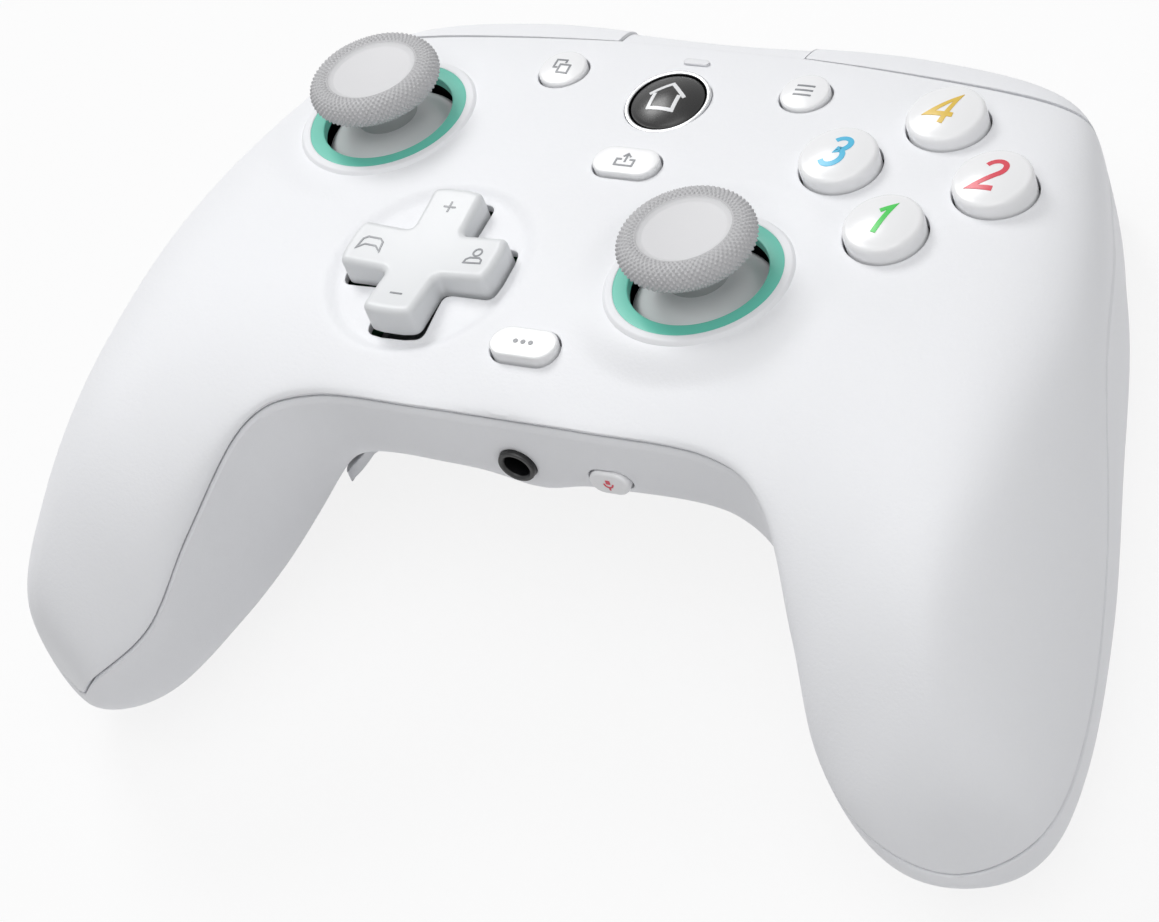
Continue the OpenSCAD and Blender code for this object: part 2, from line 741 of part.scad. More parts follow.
// Thumbsticks, measured from the pivot
module at_pivot(p) {
    place() on_face(p, -pivot_d) children();
}
module stick_frame(p) {
    low = board_z - face_z(p[0], p[1]) + pivot_d;
    color("silver") at_pivot(p) difference() {
        union() {
            intersection() {
                translate([-frame_half, -frame_half, low])
                    cube([2 * frame_half, 2 * frame_half, frame_top - low]);
                translate([0, 0, low]) cylinder(r = frame_r, h = frame_top - low);
            }
            translate([frame_half - 1, -5, low]) cube([4, 10, -low]);
            translate([-5, frame_half - 1, low]) cube([10, 4, -low]);
        }
        translate([0, 0, -frame_floor]) cylinder(r = frame_in, h = 20);
        x_rod(trunnion_r + run_fit, 2 * frame_half + 0.6);
        y_rod(trunnion_r + run_fit, 2 * frame_half + 0.6);
    }
}
module stick_yoke(p) {
    color("whitesmoke") at_pivot(p) difference() {
        union() {
            translate([-yoke_out, -yoke_out, -yoke_h]) cube([2 * yoke_out, 2 * yoke_out, 2 * yoke_h]);
            x_rod(trunnion_r, 2 * frame_half);
        }
        translate([-yoke_in, -yoke_in, -5]) cube([2 * yoke_in, 2 * yoke_in, 10]);
        y_rod(trunnion_r + run_fit, 20);
    }
}
module stick_arch(p) {
    color("dimgray") at_pivot(p) difference() {
        union() {
            intersection() {
                rotate([0, 90, 0]) cylinder(r = arch_out, h = 2 * arch_w, center = true);
                translate([-10, -10, -1.4]) cube(20);
            }
            y_rod(trunnion_r, 2 * frame_half);
        }
        rotate([0, 90, 0]) cylinder(r = arch_in, h = 20, center = true);
        translate([-slot_x, -slot_y, 0]) cube([2 * slot_x, 2 * slot_y, 20]);
    }
}
module stick_hub(p) {
    color("gray") at_pivot(p) difference() {
        union() {
            translate([0, 0, -hub_h]) cylinder(r = hub_r, h = 2 * hub_h);
            y_rod(trunnion_r, 2 * yoke_out);
        }
        cylinder(r = shaft_r + run_fit, h = 20, center = true);
    }
}
module stick_shaft(p) {
    color("silver") at_pivot(p) {
        translate([0, 0, -hub_h - 0.2]) cylinder(r = shaft_r, h = socket_low + hub_h + 1);
        translate([0, 0, socket_low]) cylinder(r = socket_r, h = pivot_d + cap_h - socket_low - cap_core);
    }
}
module stick_cap(p) {
    rim_z = pivot_d + cap_h;
    edge = cap_r - rim_w;
    under = rim_z - 2 * rim_h;
    inner = dome_r - dome_t;
    color("darkgray") at_pivot(p) rotate_extrude() polygon(concat(
        [[0, rim_z - dish_low], [edge * 0.55, rim_z - 0.75 * dish_low], [edge * 0.8, rim_z - 0.2 * dish_low]],
        [for (a = [100 : -20 : -80]) [edge + rim_w * cos(a), rim_z - rim_h + rim_h * sin(a)]],
        [[neck_r + 1.4, under], [neck_r, under - 0.7]],
        [for (a = [asin(neck_r / dome_r) : (dome_edge - asin(neck_r / dome_r)) / 8 : dome_edge + 0.01])
            [dome_r * sin(a), dome_r * cos(a)]],
        [for (a = [dome_edge : -(dome_edge - asin((socket_r + 1.5) / inner)) / 8 :
            asin((socket_r + 1.5) / inner) - 0.01])
            [inner * sin(a), inner * cos(a)]],
        [[socket_r + 1.5, socket_low], [socket_r + run_fit, socket_low]],
        [[socket_r + run_fit, rim_z - cap_core], [0, rim_z - cap_core]]
    ));
}

// Direction pad on its gimbal
module dpad_gimbal() {
    z = face_z(dpad_x, dpad_y) - dpad_pivot;
    color("gray") place() translate([dpad_x, dpad_y, z]) difference() {
        union() {
            translate([-gimbal_out, -gimbal_out, -gimbal_h])
                cube([2 * gimbal_out, 2 * gimbal_out, 2 * gimbal_h]);
            y_rod(gimbal_pin, 2 * (lug_y + lug_t));
        }
        translate([-gimbal_in, -gimbal_in, -5]) cube([2 * gimbal_in, 2 * gimbal_in, 10]);
        x_rod(gimbal_pin + run_fit, 20);
    }
}
module dpad() {
    low = -dpad_skirt + dpad_pivot;
    leg = board_z + pad_t + dome_h + dpad_travel - face_z(dpad_x, dpad_y) + dpad_pivot;
    color("white") place() on_face([dpad_x, dpad_y], -dpad_pivot) difference() {
        union() {
            translate([0, 0, low]) dpad_cross(dpad_w, dpad_l, dpad_h + dpad_skirt, dpad_round);
            for (s = [-1, 1]) translate([-1.8, s * (lug_y + lug_t / 2) - lug_t / 2, -1.8])
                cube([3.6, lug_t, 1.9 + low]);
            for (a = [0 : 90 : 270]) rotate(a) translate([dpad_leg_d, 0, leg])
                cylinder(r = dpad_leg_r, h = low - leg + 0.2);
        }
        y_rod(gimbal_pin + run_fit, 30);
        translate([0, 0, dpad_pivot + dpad_h + 27.4]) sphere(r = 28, $fn = 64);
    }
}

// Buttons, measured from the face
module round_button(r, h, low, crown) {
    ball = (r * r + crown * crown) / (2 * crown);
    intersection() {
        translate([0, 0, -wall - face_gap - 0.1]) cylinder(r = r, h = h + wall + face_gap + 0.1);
        translate([0, 0, h - ball]) sphere(r = ball, $fn = 64);
    }
    translate([0, 0, -wall - face_gap - flange_t]) cylinder(r = r + flange_w, h = flange_t);
    translate([0, 0, low]) cylinder(r = r * 0.45, h = -wall - face_gap - flange_t - low + 0.1);
}
module action_button(k) {
    p = action_spots[k];
    low = board_z + pad_t + dome_h + press + 0.2 - face_z(p[0], p[1]);
    color("white") place() on_face(p) round_button(action_r, action_h, low, 0.9);
}
module small_button(s) {
    p = [s * small_x, small_y];
    low = switch_top + small_press + 0.2 - face_z(p[0], p[1]);
    color("white") place() on_face(p) round_button(small_r, 1, low, 0.3);
}
module home_button() {
    low = switch_top + small_press + 0.2 - face_z(0, home_y);
    color("black") place() on_face([0, home_y], -1)
        round_button(home_r - home_rim - gap, 2.2, low + 1, 1.1);
}
module pill_button(y, low) {
    color("white") place() on_face([0, y]) {
        translate([0, 0, -wall - face_gap - 0.1]) pill(pill_l, pill_w, wall + face_gap + 1);
        translate([0, 0, -wall - face_gap - flange_t])
            pill(pill_l + 2 * flange_w, pill_w + 2 * flange_w, flange_t);
        translate([0, 0, low]) cylinder(r = 1.8, h = -wall - face_gap - flange_t - low + 0.1);
    }
}
module mute_button() {
    color("white") place() translate([mute_x, -front_y, mute_z]) rotate([-90, 0, 0]) {
        translate([0, 0, -0.8]) pill(mute_w, mute_h, 4.4);
        translate([0, 0, 3.5]) cylinder(r = 1.4, h = 2.3);
    }
}

// Shoulders and back paddles
module bumper() {
    color("whitesmoke") place() difference() {
        intersection() {
            body_part(0, shoulder_ring, 0, 0);
            bumper_zone(0, bumper_swing);
        }
        translate([bumper_pin[0], bumper_pin[1], -bumper_d - 1])
            cylinder(r = bumper_pin_r + run_fit, h = 4.2);
    }
}
module trigger_side() {
    polygon([
        [trigger_y, trigger_top],
        [back_y - 3, trigger_top],
        [back_y - 0.6, trigger_top - 1.2],
        [back_y + 0.9, trigger_top - 4],
        [back_y + 1.2, trigger_top - 7.5],
        [back_y + 0.9, trigger_top - 11],
        [back_y + 1.5, trigger_top - 14.5],
        [back_y + 3, trigger_low + 1.4],
        [back_y + 2.4, trigger_low + 0.2],
        [back_y + 1, trigger_low],
        [back_y - 2, trigger_low + 3],
        [back_y - 6, trigger_top - 12],
        [trigger_y + 1, trigger_z - trigger_hub_r + 0.4],
        [trigger_y, trigger_z]
    ]);
}
module trigger_pocket() {
    polygon([
        [trigger_y + trigger_hub_r + 0.6, trigger_top - trigger_skin],
        [back_y - 3.6, trigger_top - trigger_skin],
        [back_y - 1.6, trigger_top - 5],
        [back_y - 1.4, trigger_top - 10],
        [back_y - 1, trigger_low + 5],
        [trigger_y, trigger_low + 5]
    ]);
}
module trigger() {
    color("white") place() difference() {
        intersection() {
            union() {
                difference() {
                    translate([trigger_x - trigger_w / 2, 0, 0]) rotate([90, 0, 90])
                        linear_extrude(trigger_w) trigger_side();
                    translate([trigger_x - trigger_w / 2 + trigger_skin, 0, 0]) rotate([90, 0, 90])
                        linear_extrude(trigger_w - 2 * trigger_skin) trigger_pocket();
                }
                translate([trigger_x, trigger_y, trigger_z]) x_rod(trigger_hub_r, trigger_w);
            }
            translate([trigger_x, 80, 0]) rotate([90, 0, 0]) translate([0, trigger_low, 0])
                translate([0, 25, 0]) round_box(trigger_w, 50, 80, trigger_round);
        }
        translate([trigger_x, trigger_y, trigger_z]) x_rod(pin_r + run_fit, 2 * trigger_w);
    }
}
module paddle() {
    top = board_z - board_t - switch_h - small_press - 0.4;
    color("whitesmoke") place() {
        difference() {
            intersection() {
                translate([paddle_x, paddle_y, -70]) rotate(90 + paddle_turn) pill(paddle_l, paddle_w, 60);
                body_part(2, 16, 0, -paddle_gap - paddle_t);
            }
            body_part(2, 16, 0, -paddle_gap);
        }
        difference() {
            translate([paddle_x, paddle_y, -70]) cylinder(r = paddle_stem_r, h = 70 + top);
            difference() {
                translate([paddle_x, paddle_y, -80]) cylinder(r = 10, h = 60);
                body_part(2, 16, 0, -paddle_gap - paddle_t / 2, 2);
            }
        }
    }
}

front_shell();
rear_shell();
top_bridge();
stick_ring(sticks[0]);  // left_stick_ring
stick_ring(sticks[1]);  // right_stick_ring
home_ring();
status_lens();
main_board();
front_board();
board_screws();
shell_screws();
tact_switches();
action_pad();
dpad_pad();
usb_socket();
audio_jack();
dpad_post();
trigger_pins();
bumper_pins();
stick_frame(sticks[0]);  // left_stick_frame
stick_yoke(sticks[0]);  // left_stick_yoke
stick_arch(sticks[0]);  // left_stick_arch
stick_hub(sticks[0]);  // left_stick_hub
stick_shaft(sticks[0]);  // left_stick_shaft
stick_cap(sticks[0]);  // left_stick_cap
stick_frame(sticks[1]);  // right_stick_frame
stick_yoke(sticks[1]);  // right_stick_yoke
stick_arch(sticks[1]);  // right_stick_arch
stick_hub(sticks[1]);  // right_stick_hub
stick_shaft(sticks[1]);  // right_stick_shaft
stick_cap(sticks[1]);  // right_stick_cap
dpad_gimbal();
dpad();
action_button(0);  // button_south
action_button(1);  // button_east
action_button(2);  // button_west
action_button(3);  // button_north
small_button(-1);  // view_button
small_button(1);  // menu_button
home_button();
pill_button(share_y, switch_top + small_press + 0.2 - face_z(0, share_y));  // share_button
pill_button(mode_y, front_board_z + mode_switch_h + small_press + 0.2 - face_z(0, mode_y));  // mode_button
mute_button();
mirror([1, 0, 0]) bumper();  // left_bumper
bumper();  // right_bumper
mirror([1, 0, 0]) trigger();  // left_trigger
trigger();  // right_trigger
mirror([1, 0, 0]) paddle();  // left_paddle
paddle();  // right_paddle
motor(-1);  // left_motor
motor(1);  // right_motor
weight(-1);  // left_weight
weight(1);  // right_weight
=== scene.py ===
import json
import math

import bpy
import bmesh
import numpy as np
from mathutils import Matrix


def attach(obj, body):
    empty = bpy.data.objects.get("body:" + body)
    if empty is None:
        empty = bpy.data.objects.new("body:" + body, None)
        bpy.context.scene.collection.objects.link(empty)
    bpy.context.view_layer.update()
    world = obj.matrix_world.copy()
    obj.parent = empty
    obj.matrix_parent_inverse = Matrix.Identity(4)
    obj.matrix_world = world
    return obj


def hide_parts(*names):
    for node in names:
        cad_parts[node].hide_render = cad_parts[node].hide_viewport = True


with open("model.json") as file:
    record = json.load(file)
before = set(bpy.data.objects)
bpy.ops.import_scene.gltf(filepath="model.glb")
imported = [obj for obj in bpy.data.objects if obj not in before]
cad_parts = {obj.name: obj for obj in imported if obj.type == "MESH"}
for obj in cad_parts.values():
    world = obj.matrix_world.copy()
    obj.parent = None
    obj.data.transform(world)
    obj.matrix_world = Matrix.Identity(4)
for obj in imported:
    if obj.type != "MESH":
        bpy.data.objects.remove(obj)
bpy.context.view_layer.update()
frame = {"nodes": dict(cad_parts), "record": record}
print("frame loaded:", len(frame["nodes"]), "nodes")

# Sizes are millimetres in the frame of the face: z = 0 on the face, +Y away from the player.
# toRow tilts them by the standing angle, moves them to the rest pad and turns them to metres.
stand = {"tilt": math.radians(11.5), "shiftY": 16.5234, "lift": 41.6587}


def toRow(points):
    p = np.asarray(points, float)
    c, s = math.cos(stand["tilt"]), math.sin(stand["tilt"])
    y = p[..., 1] * c + p[..., 2] * s - stand["shiftY"]
    z = p[..., 2] * c - p[..., 1] * s + stand["lift"]
    return np.stack([p[..., 0], y, z], -1) / 1000


def addMesh(name, verts, quads, tris=None, place=toRow, caps=()):
    # vertices in face millimetres; faces as index arrays, with caps for those of many corners
    quads = np.asarray(quads, int)
    tris = np.zeros((0, 3), int) if tris is None else np.asarray(tris, int)
    co = place(np.asarray(verts, float).reshape(-1, 3))
    mesh = bpy.data.meshes.new(name)
    mesh.vertices.add(len(co))
    mesh.vertices.foreach_set("co", co.ravel())
    corners = np.concatenate([quads.ravel(), tris.ravel(), *caps])
    sizes = np.repeat([4, 3] + [len(cap) for cap in caps], [len(quads), len(tris)] + [1] * len(caps))
    starts = np.cumsum(sizes) - sizes
    mesh.loops.add(len(corners))
    mesh.loops.foreach_set("vertex_index", corners)
    mesh.polygons.add(len(starts))
    mesh.polygons.foreach_set("loop_start", starts)
    mesh.update(calc_edges=True)
    mesh.validate()
    obj = bpy.data.objects.new(name, mesh)
    bpy.context.scene.collection.objects.link(obj)
    return obj


def gridQuads(rows, cols, wrapRows=False, wrapCols=False, offset=0):
    # four corners of every cell of a grid of points, row after row
    i = np.arange(rows if wrapRows else rows - 1)[:, None]
    j = np.arange(cols if wrapCols else cols - 1)[None, :]
    a, b = i * cols, ((i + 1) % rows) * cols
    k = (j + 1) % cols
    cells = np.stack([a + j + 0 * b, b + j + 0 * a, b + k + 0 * a, a + k + 0 * b], -1)
    return cells.reshape(-1, 4) + offset


def rework(mesh, change):
    # opens a mesh for editing, makes the change and writes it back
    work = bmesh.new()
    work.from_mesh(mesh)
    change(work)
    work.to_mesh(mesh)
    work.free()


def faceOut(work):
    bmesh.ops.recalc_face_normals(work, faces=work.faces)


def tidyMesh(obj, sharp=32, merge=1e-6):
    # joins doubled points, turns faces outward and keeps edges past the angle crisp
    def clean(work):
        bmesh.ops.remove_doubles(work, verts=work.verts, dist=merge)
        bmesh.ops.dissolve_degenerate(work, edges=work.edges, dist=merge / 10)
        faceOut(work)

    rework(obj.data, clean)
    obj.data.polygons.foreach_set("use_smooth", np.ones(len(obj.data.polygons), bool))
    obj.data.set_sharp_from_angle(angle=math.radians(sharp))
    return obj


def carve(obj, cutters, kind="DIFFERENCE"):
    # boolean with each cutter in turn, then the cutters go
    for cutter in cutters:
        step = obj.modifiers.new("carve", "BOOLEAN")
        step.operation = kind
        step.solver = "EXACT"
        step.object = cutter
    bpy.context.view_layer.update()
    done = bpy.data.meshes.new_from_object(obj.evaluated_get(bpy.context.evaluated_depsgraph_get()))
    obj.modifiers.clear()
    old = obj.data
    obj.data = done
    done.name = obj.name
    bpy.data.meshes.remove(old)
    for cutter in cutters:
        bpy.data.objects.remove(cutter)
    return obj


def fillet(points, radii, steps=6):
    # each corner of a polyline becomes an arc of its radius
    p = np.asarray(points, float)
    out = [p[:1]]
    for a, b, c, r in zip(p[:-2], p[1:-1], p[2:], radii):
        d, e = (a - b) / np.linalg.norm(a - b), (c - b) / np.linalg.norm(c - b)
        half = math.acos(max(-1, min(1, float(d @ e)))) / 2
        reach = min(r / math.tan(half), 0.49 * np.linalg.norm(a - b), 0.49 * np.linalg.norm(c - b))
        t = np.linspace(0, 1, steps)[:, None]
        out.append((1 - t) ** 2 * (b + d * reach) + 2 * t * (1 - t) * b + t ** 2 * (b + e * reach))
    out.append(p[-1:])
    return np.concatenate(out)


def revolve(name, centre, profile, turns=128, relief=None, turn=None):
    # profile of (radius, height) turned about a line square to the face, or as turn lays it; relief pushes
    # the surface out along the profile's own normal
    prof = np.asarray(profile, float)
    ang = np.linspace(0, 2 * np.pi, turns, endpoint=False)[:, None]
    r, z = (np.repeat(prof[None, :, axis], turns, 0) for axis in (0, 1))
    if relief is not None:
        d = np.gradient(prof, axis=0)
        d = d / np.linalg.norm(d, axis=1, keepdims=True)
        push = relief(ang)
        r, z = r - d[:, 1] * push, z + d[:, 0] * push
    local = np.stack([r * np.cos(ang), r * np.sin(ang), z], -1)
    verts = (local if turn is None else turn(local)) + np.asarray(centre)
    return addMesh(name, verts, gridQuads(turns, len(prof), wrapRows=True))


def prism(name, outline, low, high, place=toRow):
    # closed outline in x and y between two heights
    o = np.asarray(outline, float)
    n = len(o)
    verts = np.concatenate([np.c_[o, np.full(n, low)], np.c_[o, np.full(n, high)]])
    ends = [np.arange(n), np.arange(n, 2 * n)]
    obj = addMesh(name, verts, gridQuads(2, n, wrapCols=True), place=place, caps=ends)
    rework(obj.data, faceOut)
    return obj


def stadium(length, width, points=24):
    # outline of a pill: two half circles joined by straight sides
    a = np.linspace(-np.pi / 2, np.pi / 2, points)
    cap = np.c_[np.cos(a), np.sin(a)] * width / 2 + [(length - width) / 2, 0]
    return np.concatenate([cap, -cap])


def circle(radius, points=96):
    a = np.linspace(0, 2 * np.pi, points, endpoint=False)
    return np.c_[np.cos(a), np.sin(a)] * radius


# Body: the loft of the part's source at a finer step
body = {
    "halfWidth": 76.5, "backY": 38.5, "frontY": 35, "gripReach": 66.5, "gripDrop": 41.5, "gripDepth": 54,
    "humpDepth": 40, "frontWall": 21, "wall": 2, "seamGap": 0.3, "tipIndex": 8,
    "topSquare": [5.5, 5, 2.7, 1.7, 2], "rearSquare": [5, 3.8, 3.2, 2.1, 2.2],
    "topTuck": 0.39, "rearTuck": 0.29, "crownX": 0.0007, "crownY": 0.0021,
    "droop": 13, "droopY": -10, "droopLength": 54, "edgeRound": 0.35,
}
hw, by, fy = body["halfWidth"], body["backY"], body["frontY"]
gr, gd, ge = body["gripReach"], body["gripDrop"], body["gripDepth"]
seam = np.array([
    [0, by - 2, -7.5], [29.5, by, -10.5], [hw - 25, by - 3.5, -14], [hw - 15.5, 19, -15],
    [hw - 8.5, -3, -15], [hw - 3.5, -23.5, 13.5 - gd], [hw - 0.5, 23.5 - gr, 5.5 - gd],
    [hw - 1.5, 9.5 - gr, 2.5 - gd], [hw - 10.5, 3 - gr, -gd], [hw - 18.5, -gr, 8 - gd],
    [hw - 27, 6 - gr, 14 - gd], [hw - 32, 15.5 - gr, 23.5 - gd], [hw - 38.5, -fy - 4.5, -8],
    [29, -fy, -5.5], [12, -fy - 0.5, -4], [0, -fy, -4.5]])
frontDepth = [body["frontWall"], body["frontWall"] + 2.5, ge - 11, ge - 5, ge - 4.5]
backDepth = [body["humpDepth"], body["humpDepth"] + 0.5, ge - 6.5, ge, ge - 1]


def smoothThrough(points, t, ends):
    # cubic through the points, with given points before the first and after the last
    p = np.concatenate([[ends[0]], np.asarray(points, float), [ends[1]]])
    i = np.clip(np.floor(t).astype(int), 0, len(points) - 2)
    f = t - i
    f = f[..., None] if p.ndim == 2 else f
    a, b, c, d = p[i], p[i + 1], p[i + 2], p[i + 3]
    return 0.5 * (2 * b + (c - a) * f + (2 * a - 5 * b + 4 * c - d) * f ** 2 + (3 * b - a - 3 * c + d) * f ** 3)


def seamAt(t, inset):
    # point of the seam moved inward, square to the seam in plan
    flip = np.array([-1, 1, 1])
    ends = (seam[1] * flip, seam[-2] * flip)
    g = smoothThrough(seam, np.minimum(t + 0.05, 15), ends) - smoothThrough(seam, np.maximum(t - 0.05, 0), ends)
    g = g / np.linalg.norm(g[..., :2], axis=-1, keepdims=True)
    return smoothThrough(seam, t, ends) + inset * np.stack([g[..., 1], -g[..., 0], 0 * g[..., 0]], -1)


def knot(values, u):
    # smooth run of values from the middle, u = 0, to the grip's tip, u = 1
    v = np.asarray(values, float)
    return smoothThrough(v, u * (len(v) - 1), (v[1], 2 * v[-1] - v[-2]))


def faceZ(x, y):
    # height of the face: crowned across and to the back, drooping to the front
    b = body
    return (-b["crownX"] * x ** 2 - b["crownY"] * np.maximum(y, 0) ** 2
            - b["droop"] * np.maximum((b["droopY"] - y) / b["droopLength"], 0) ** 2)


def arcPoints(u, angle, inset, over, drop=0):
    # section at u between the two seams: a squared half ellipse over the top or underneath
    last = len(seam) - 1
    outer = seamAt(u * body["tipIndex"], inset)[:, None, :]
    inner = seamAt(last - u * (last - body["tipIndex"]), inset)[:, None, :]
    power = 2 / knot(body["topSquare"] if over else body["rearSquare"], u)[:, None]
    c, s = np.cos(angle)[None, :], np.abs(np.sin(angle))[None, :]
    m = ((1 - np.sign(c) * np.abs(c) ** power) / 2)[..., None]
    p = inner * (1 - m) + outer * m
    rise = s ** power
    tuck = np.sin(np.pi / 2 * np.minimum((1 - u) / body["topTuck" if over else "rearTuck"], 1))[:, None]
    if over:
        h = (faceZ(p[..., 0], p[..., 1]) - p[..., 2]) * tuck
        z = p[..., 2] + np.maximum(h - inset, 0.2) * rise
    else:
        f, b = knot(frontDepth, u)[:, None], knot(backDepth, u)[:, None]
        f = f + front["bossDrop"] * np.exp(-(p[..., 0] / front["bossWidth"]) ** 2)
        h = (p[..., 2] + f * (1 - m[..., 0]) + b * m[..., 0]) * tuck
        z = p[..., 2] - drop - np.maximum(h - inset - drop, 0.2) * rise
    return np.stack([p[..., 0], p[..., 1], z], -1)


def evenArc(u, count, inset, over, drop=0, dense=700):
    # the section's points at even steps of its length
    angle = np.pi * (1 - np.cos(np.linspace(0, np.pi, dense))) / 2
    p = arcPoints(u, angle, inset, over, drop)
    run = np.concatenate([np.zeros((len(u), 1)), np.cumsum(np.linalg.norm(np.diff(p, axis=1), axis=2), 1)], 1)
    out = np.empty((len(u), count, 3))
    for row in range(len(u)):
        at = np.linspace(0, run[row, -1], count)
        for axis in range(3):
            out[row, :, axis] = np.interp(at, run[row], p[row, :, axis])
    return out


def halves(steps):
    # stations from the left tip to the right tip, closer together toward the tips
    j = np.linspace(-1, 1, 2 * steps - 1)[1:-1]
    return np.sign(j), 1 - (1 - np.abs(j)) ** 1.35


def roundEdges(arc, radius, inward):
    # the two ends of a section turn in as quarter circles of the radius
    run = np.linalg.norm(np.diff(arc, axis=1), axis=2)
    fromStart = np.concatenate([np.zeros((len(arc), 1)), np.cumsum(run, 1)], 1)
    fromEnd = fromStart[:, -1:] - fromStart
    near = np.minimum(fromStart, fromEnd)
    k = np.clip(1 - near / radius, 0, 1)
    turn = radius * (1 - np.sqrt(1 - k ** 2))
    return arc + turn[..., None] * inward


def shellMesh(name, over, steps=150, outerCount=150, innerCount=26):
    # wall of even thickness: outer section one way, inner section back, closed at the grip tips
    side, u = halves(steps)
    drop = 0 if over else body["seamGap"]
    outer = edgeTurn(evenArc(u, outerCount, 0, over, drop), u)
    inner = evenArc(u, innerCount, body["wall"], over, drop)
    if over:
        outer[..., 2] += faceRelief(outer[..., 0] * side[:, None], outer[..., 1])
    ring = np.concatenate([outer, inner[:, ::-1]], 1)
    ring[..., 0] *= side[:, None]
    rows, cols = ring.shape[:2]
    tips = []
    for s in (-1, 1):
        for inset in (0, body["wall"]):
            tip = seamAt(np.array([float(body["tipIndex"])]), inset)[0] - [0, 0, drop]
            tips.append(tip * [s, 1, 1])
    verts = np.concatenate([ring.reshape(-1, 3), tips])
    quads = gridQuads(rows, cols, wrapCols=True)
    first, tri = rows * cols, []
    k = np.arange(cols)
    for end, row in ((0, 0), (1, rows - 1)):
        near = np.where(k < outerCount, first + 2 * end, first + 2 * end + 1)
        nxt = (k + 1) % cols
        tri.append(np.stack([row * cols + k, row * cols + nxt, near], -1))
        turn = near != near[nxt]
        tri.append(np.stack([row * cols + nxt, near[nxt], near], -1)[turn])
    return tidyMesh(addMesh(name, verts, quads, np.concatenate(tri)))


def edgeTurn(arc, u):
    # rounds the two long edges at the seam
    flat = seamAt(u * body["tipIndex"], body["edgeRound"]) - seamAt(u * body["tipIndex"], 0)
    last = len(seam) - 1
    t = last - u * (last - body["tipIndex"])
    flatIn = seamAt(t, body["edgeRound"]) - seamAt(t, 0)
    half = arc.shape[1] // 2
    inward = np.empty_like(arc)
    inward[:, :half] = (flatIn / body["edgeRound"])[:, None]
    inward[:, half:] = (flat / body["edgeRound"])[:, None]
    return roundEdges(arc, body["edgeRound"], inward)


# Front wall
front = {"jackZ": -12.5, "jackRadius": 2.6, "jackBore": 1.8, "jackRise": 0.75, "bossDrop": 2.2, "bossWidth": 5.2,
         "muteX": 13.5, "muteZ": -12.8, "muteWidth": 5.6, "muteHeight": 3.8, "muteRise": 0.8, "muteEdge": 0.35,
         "cutFrom": -45, "cutTo": -25}

# Places on the face
sticks = {"left": (-40.5, 12.5), "right": (18.5, -10.5)}
# slopes of the rings' planes, across and back
stickLean = {"left": (-0.021, 0.078), "right": (-0.002, 0.068)}
ring = {"radius": 11.2, "width": 2, "rise": 0.25, "depth": 2.2, "lipDepth": 1.1, "collar": 1.1, "collarHeight": 0.3,
        "collarFlare": 0.35, "collarDepth": 2.6, "sink": 0.15, "mound": 18}
dpad = {"at": (-20, -13.9), "half": 11.5, "width": 7.7, "height": 2.7, "skirt": 1.6, "gap": 0.55, "corner": 1.8,
        "bulge": 0.4, "dishRadius": 14.8, "dishEdge": 1.8, "dishDepth": 0.8, "edge": 0.9, "hollow": 0.7}
gap = 0.3


def faceRelief(x, y):
    # shallow round dish under the direction pad, and a mound that lifts the face to each ring's leaning plane
    r = np.hypot(x - dpad["at"][0], y - dpad["at"][1])
    t = np.clip((dpad["dishRadius"] - r) / dpad["dishEdge"], 0, 1)
    rise = -dpad["dishDepth"] * t * t * (3 - 2 * t)
    flat = ring["radius"] + ring["collar"]
    for side, at in sticks.items():
        dx, dy = x - at[0], y - at[1]
        plane = onFace(at)[2] - stickLean[side][0] * dx - stickLean[side][1] * dy - ring["sink"]
        k = np.clip((ring["mound"] - np.hypot(dx, dy)) / (ring["mound"] - flat), 0, 1)
        rise = rise + (plane - faceZ(x, y)) * k * k * (3 - 2 * k)
    return rise


def onFace(at):
    return np.array([*at, faceZ(*np.array(at, float))])


# Materials
def linear(code):
    # sRGB hex to linear light
    v = np.array([int(code[i:i + 2], 16) for i in (1, 3, 5)]) / 255
    v = np.where(v <= 0.04045, v / 12.92, ((v + 0.055) / 1.055) ** 2.4)
    return (*v.tolist(), 1.0)


def addNode(tree, kind, settings=None, links=None):
    node = tree.nodes.new(kind)
    for key, value in (settings or {}).items():
        if isinstance(key, int) or key in node.inputs:
            node.inputs[key].default_value = value
        else:
            setattr(node, key, value)
    for key, source in (links or {}).items():
        tree.links.new(source, node.inputs[key])
    return node


def newMaterial(name):
    mat = bpy.data.materials.new(name)
    mat.use_nodes = True
    tree = mat.node_tree
    tree.nodes.clear()
    out = addNode(tree, "ShaderNodeOutputMaterial")
    where = addNode(tree, "ShaderNodeTexCoord").outputs["Object"]
    return mat, tree, out, where


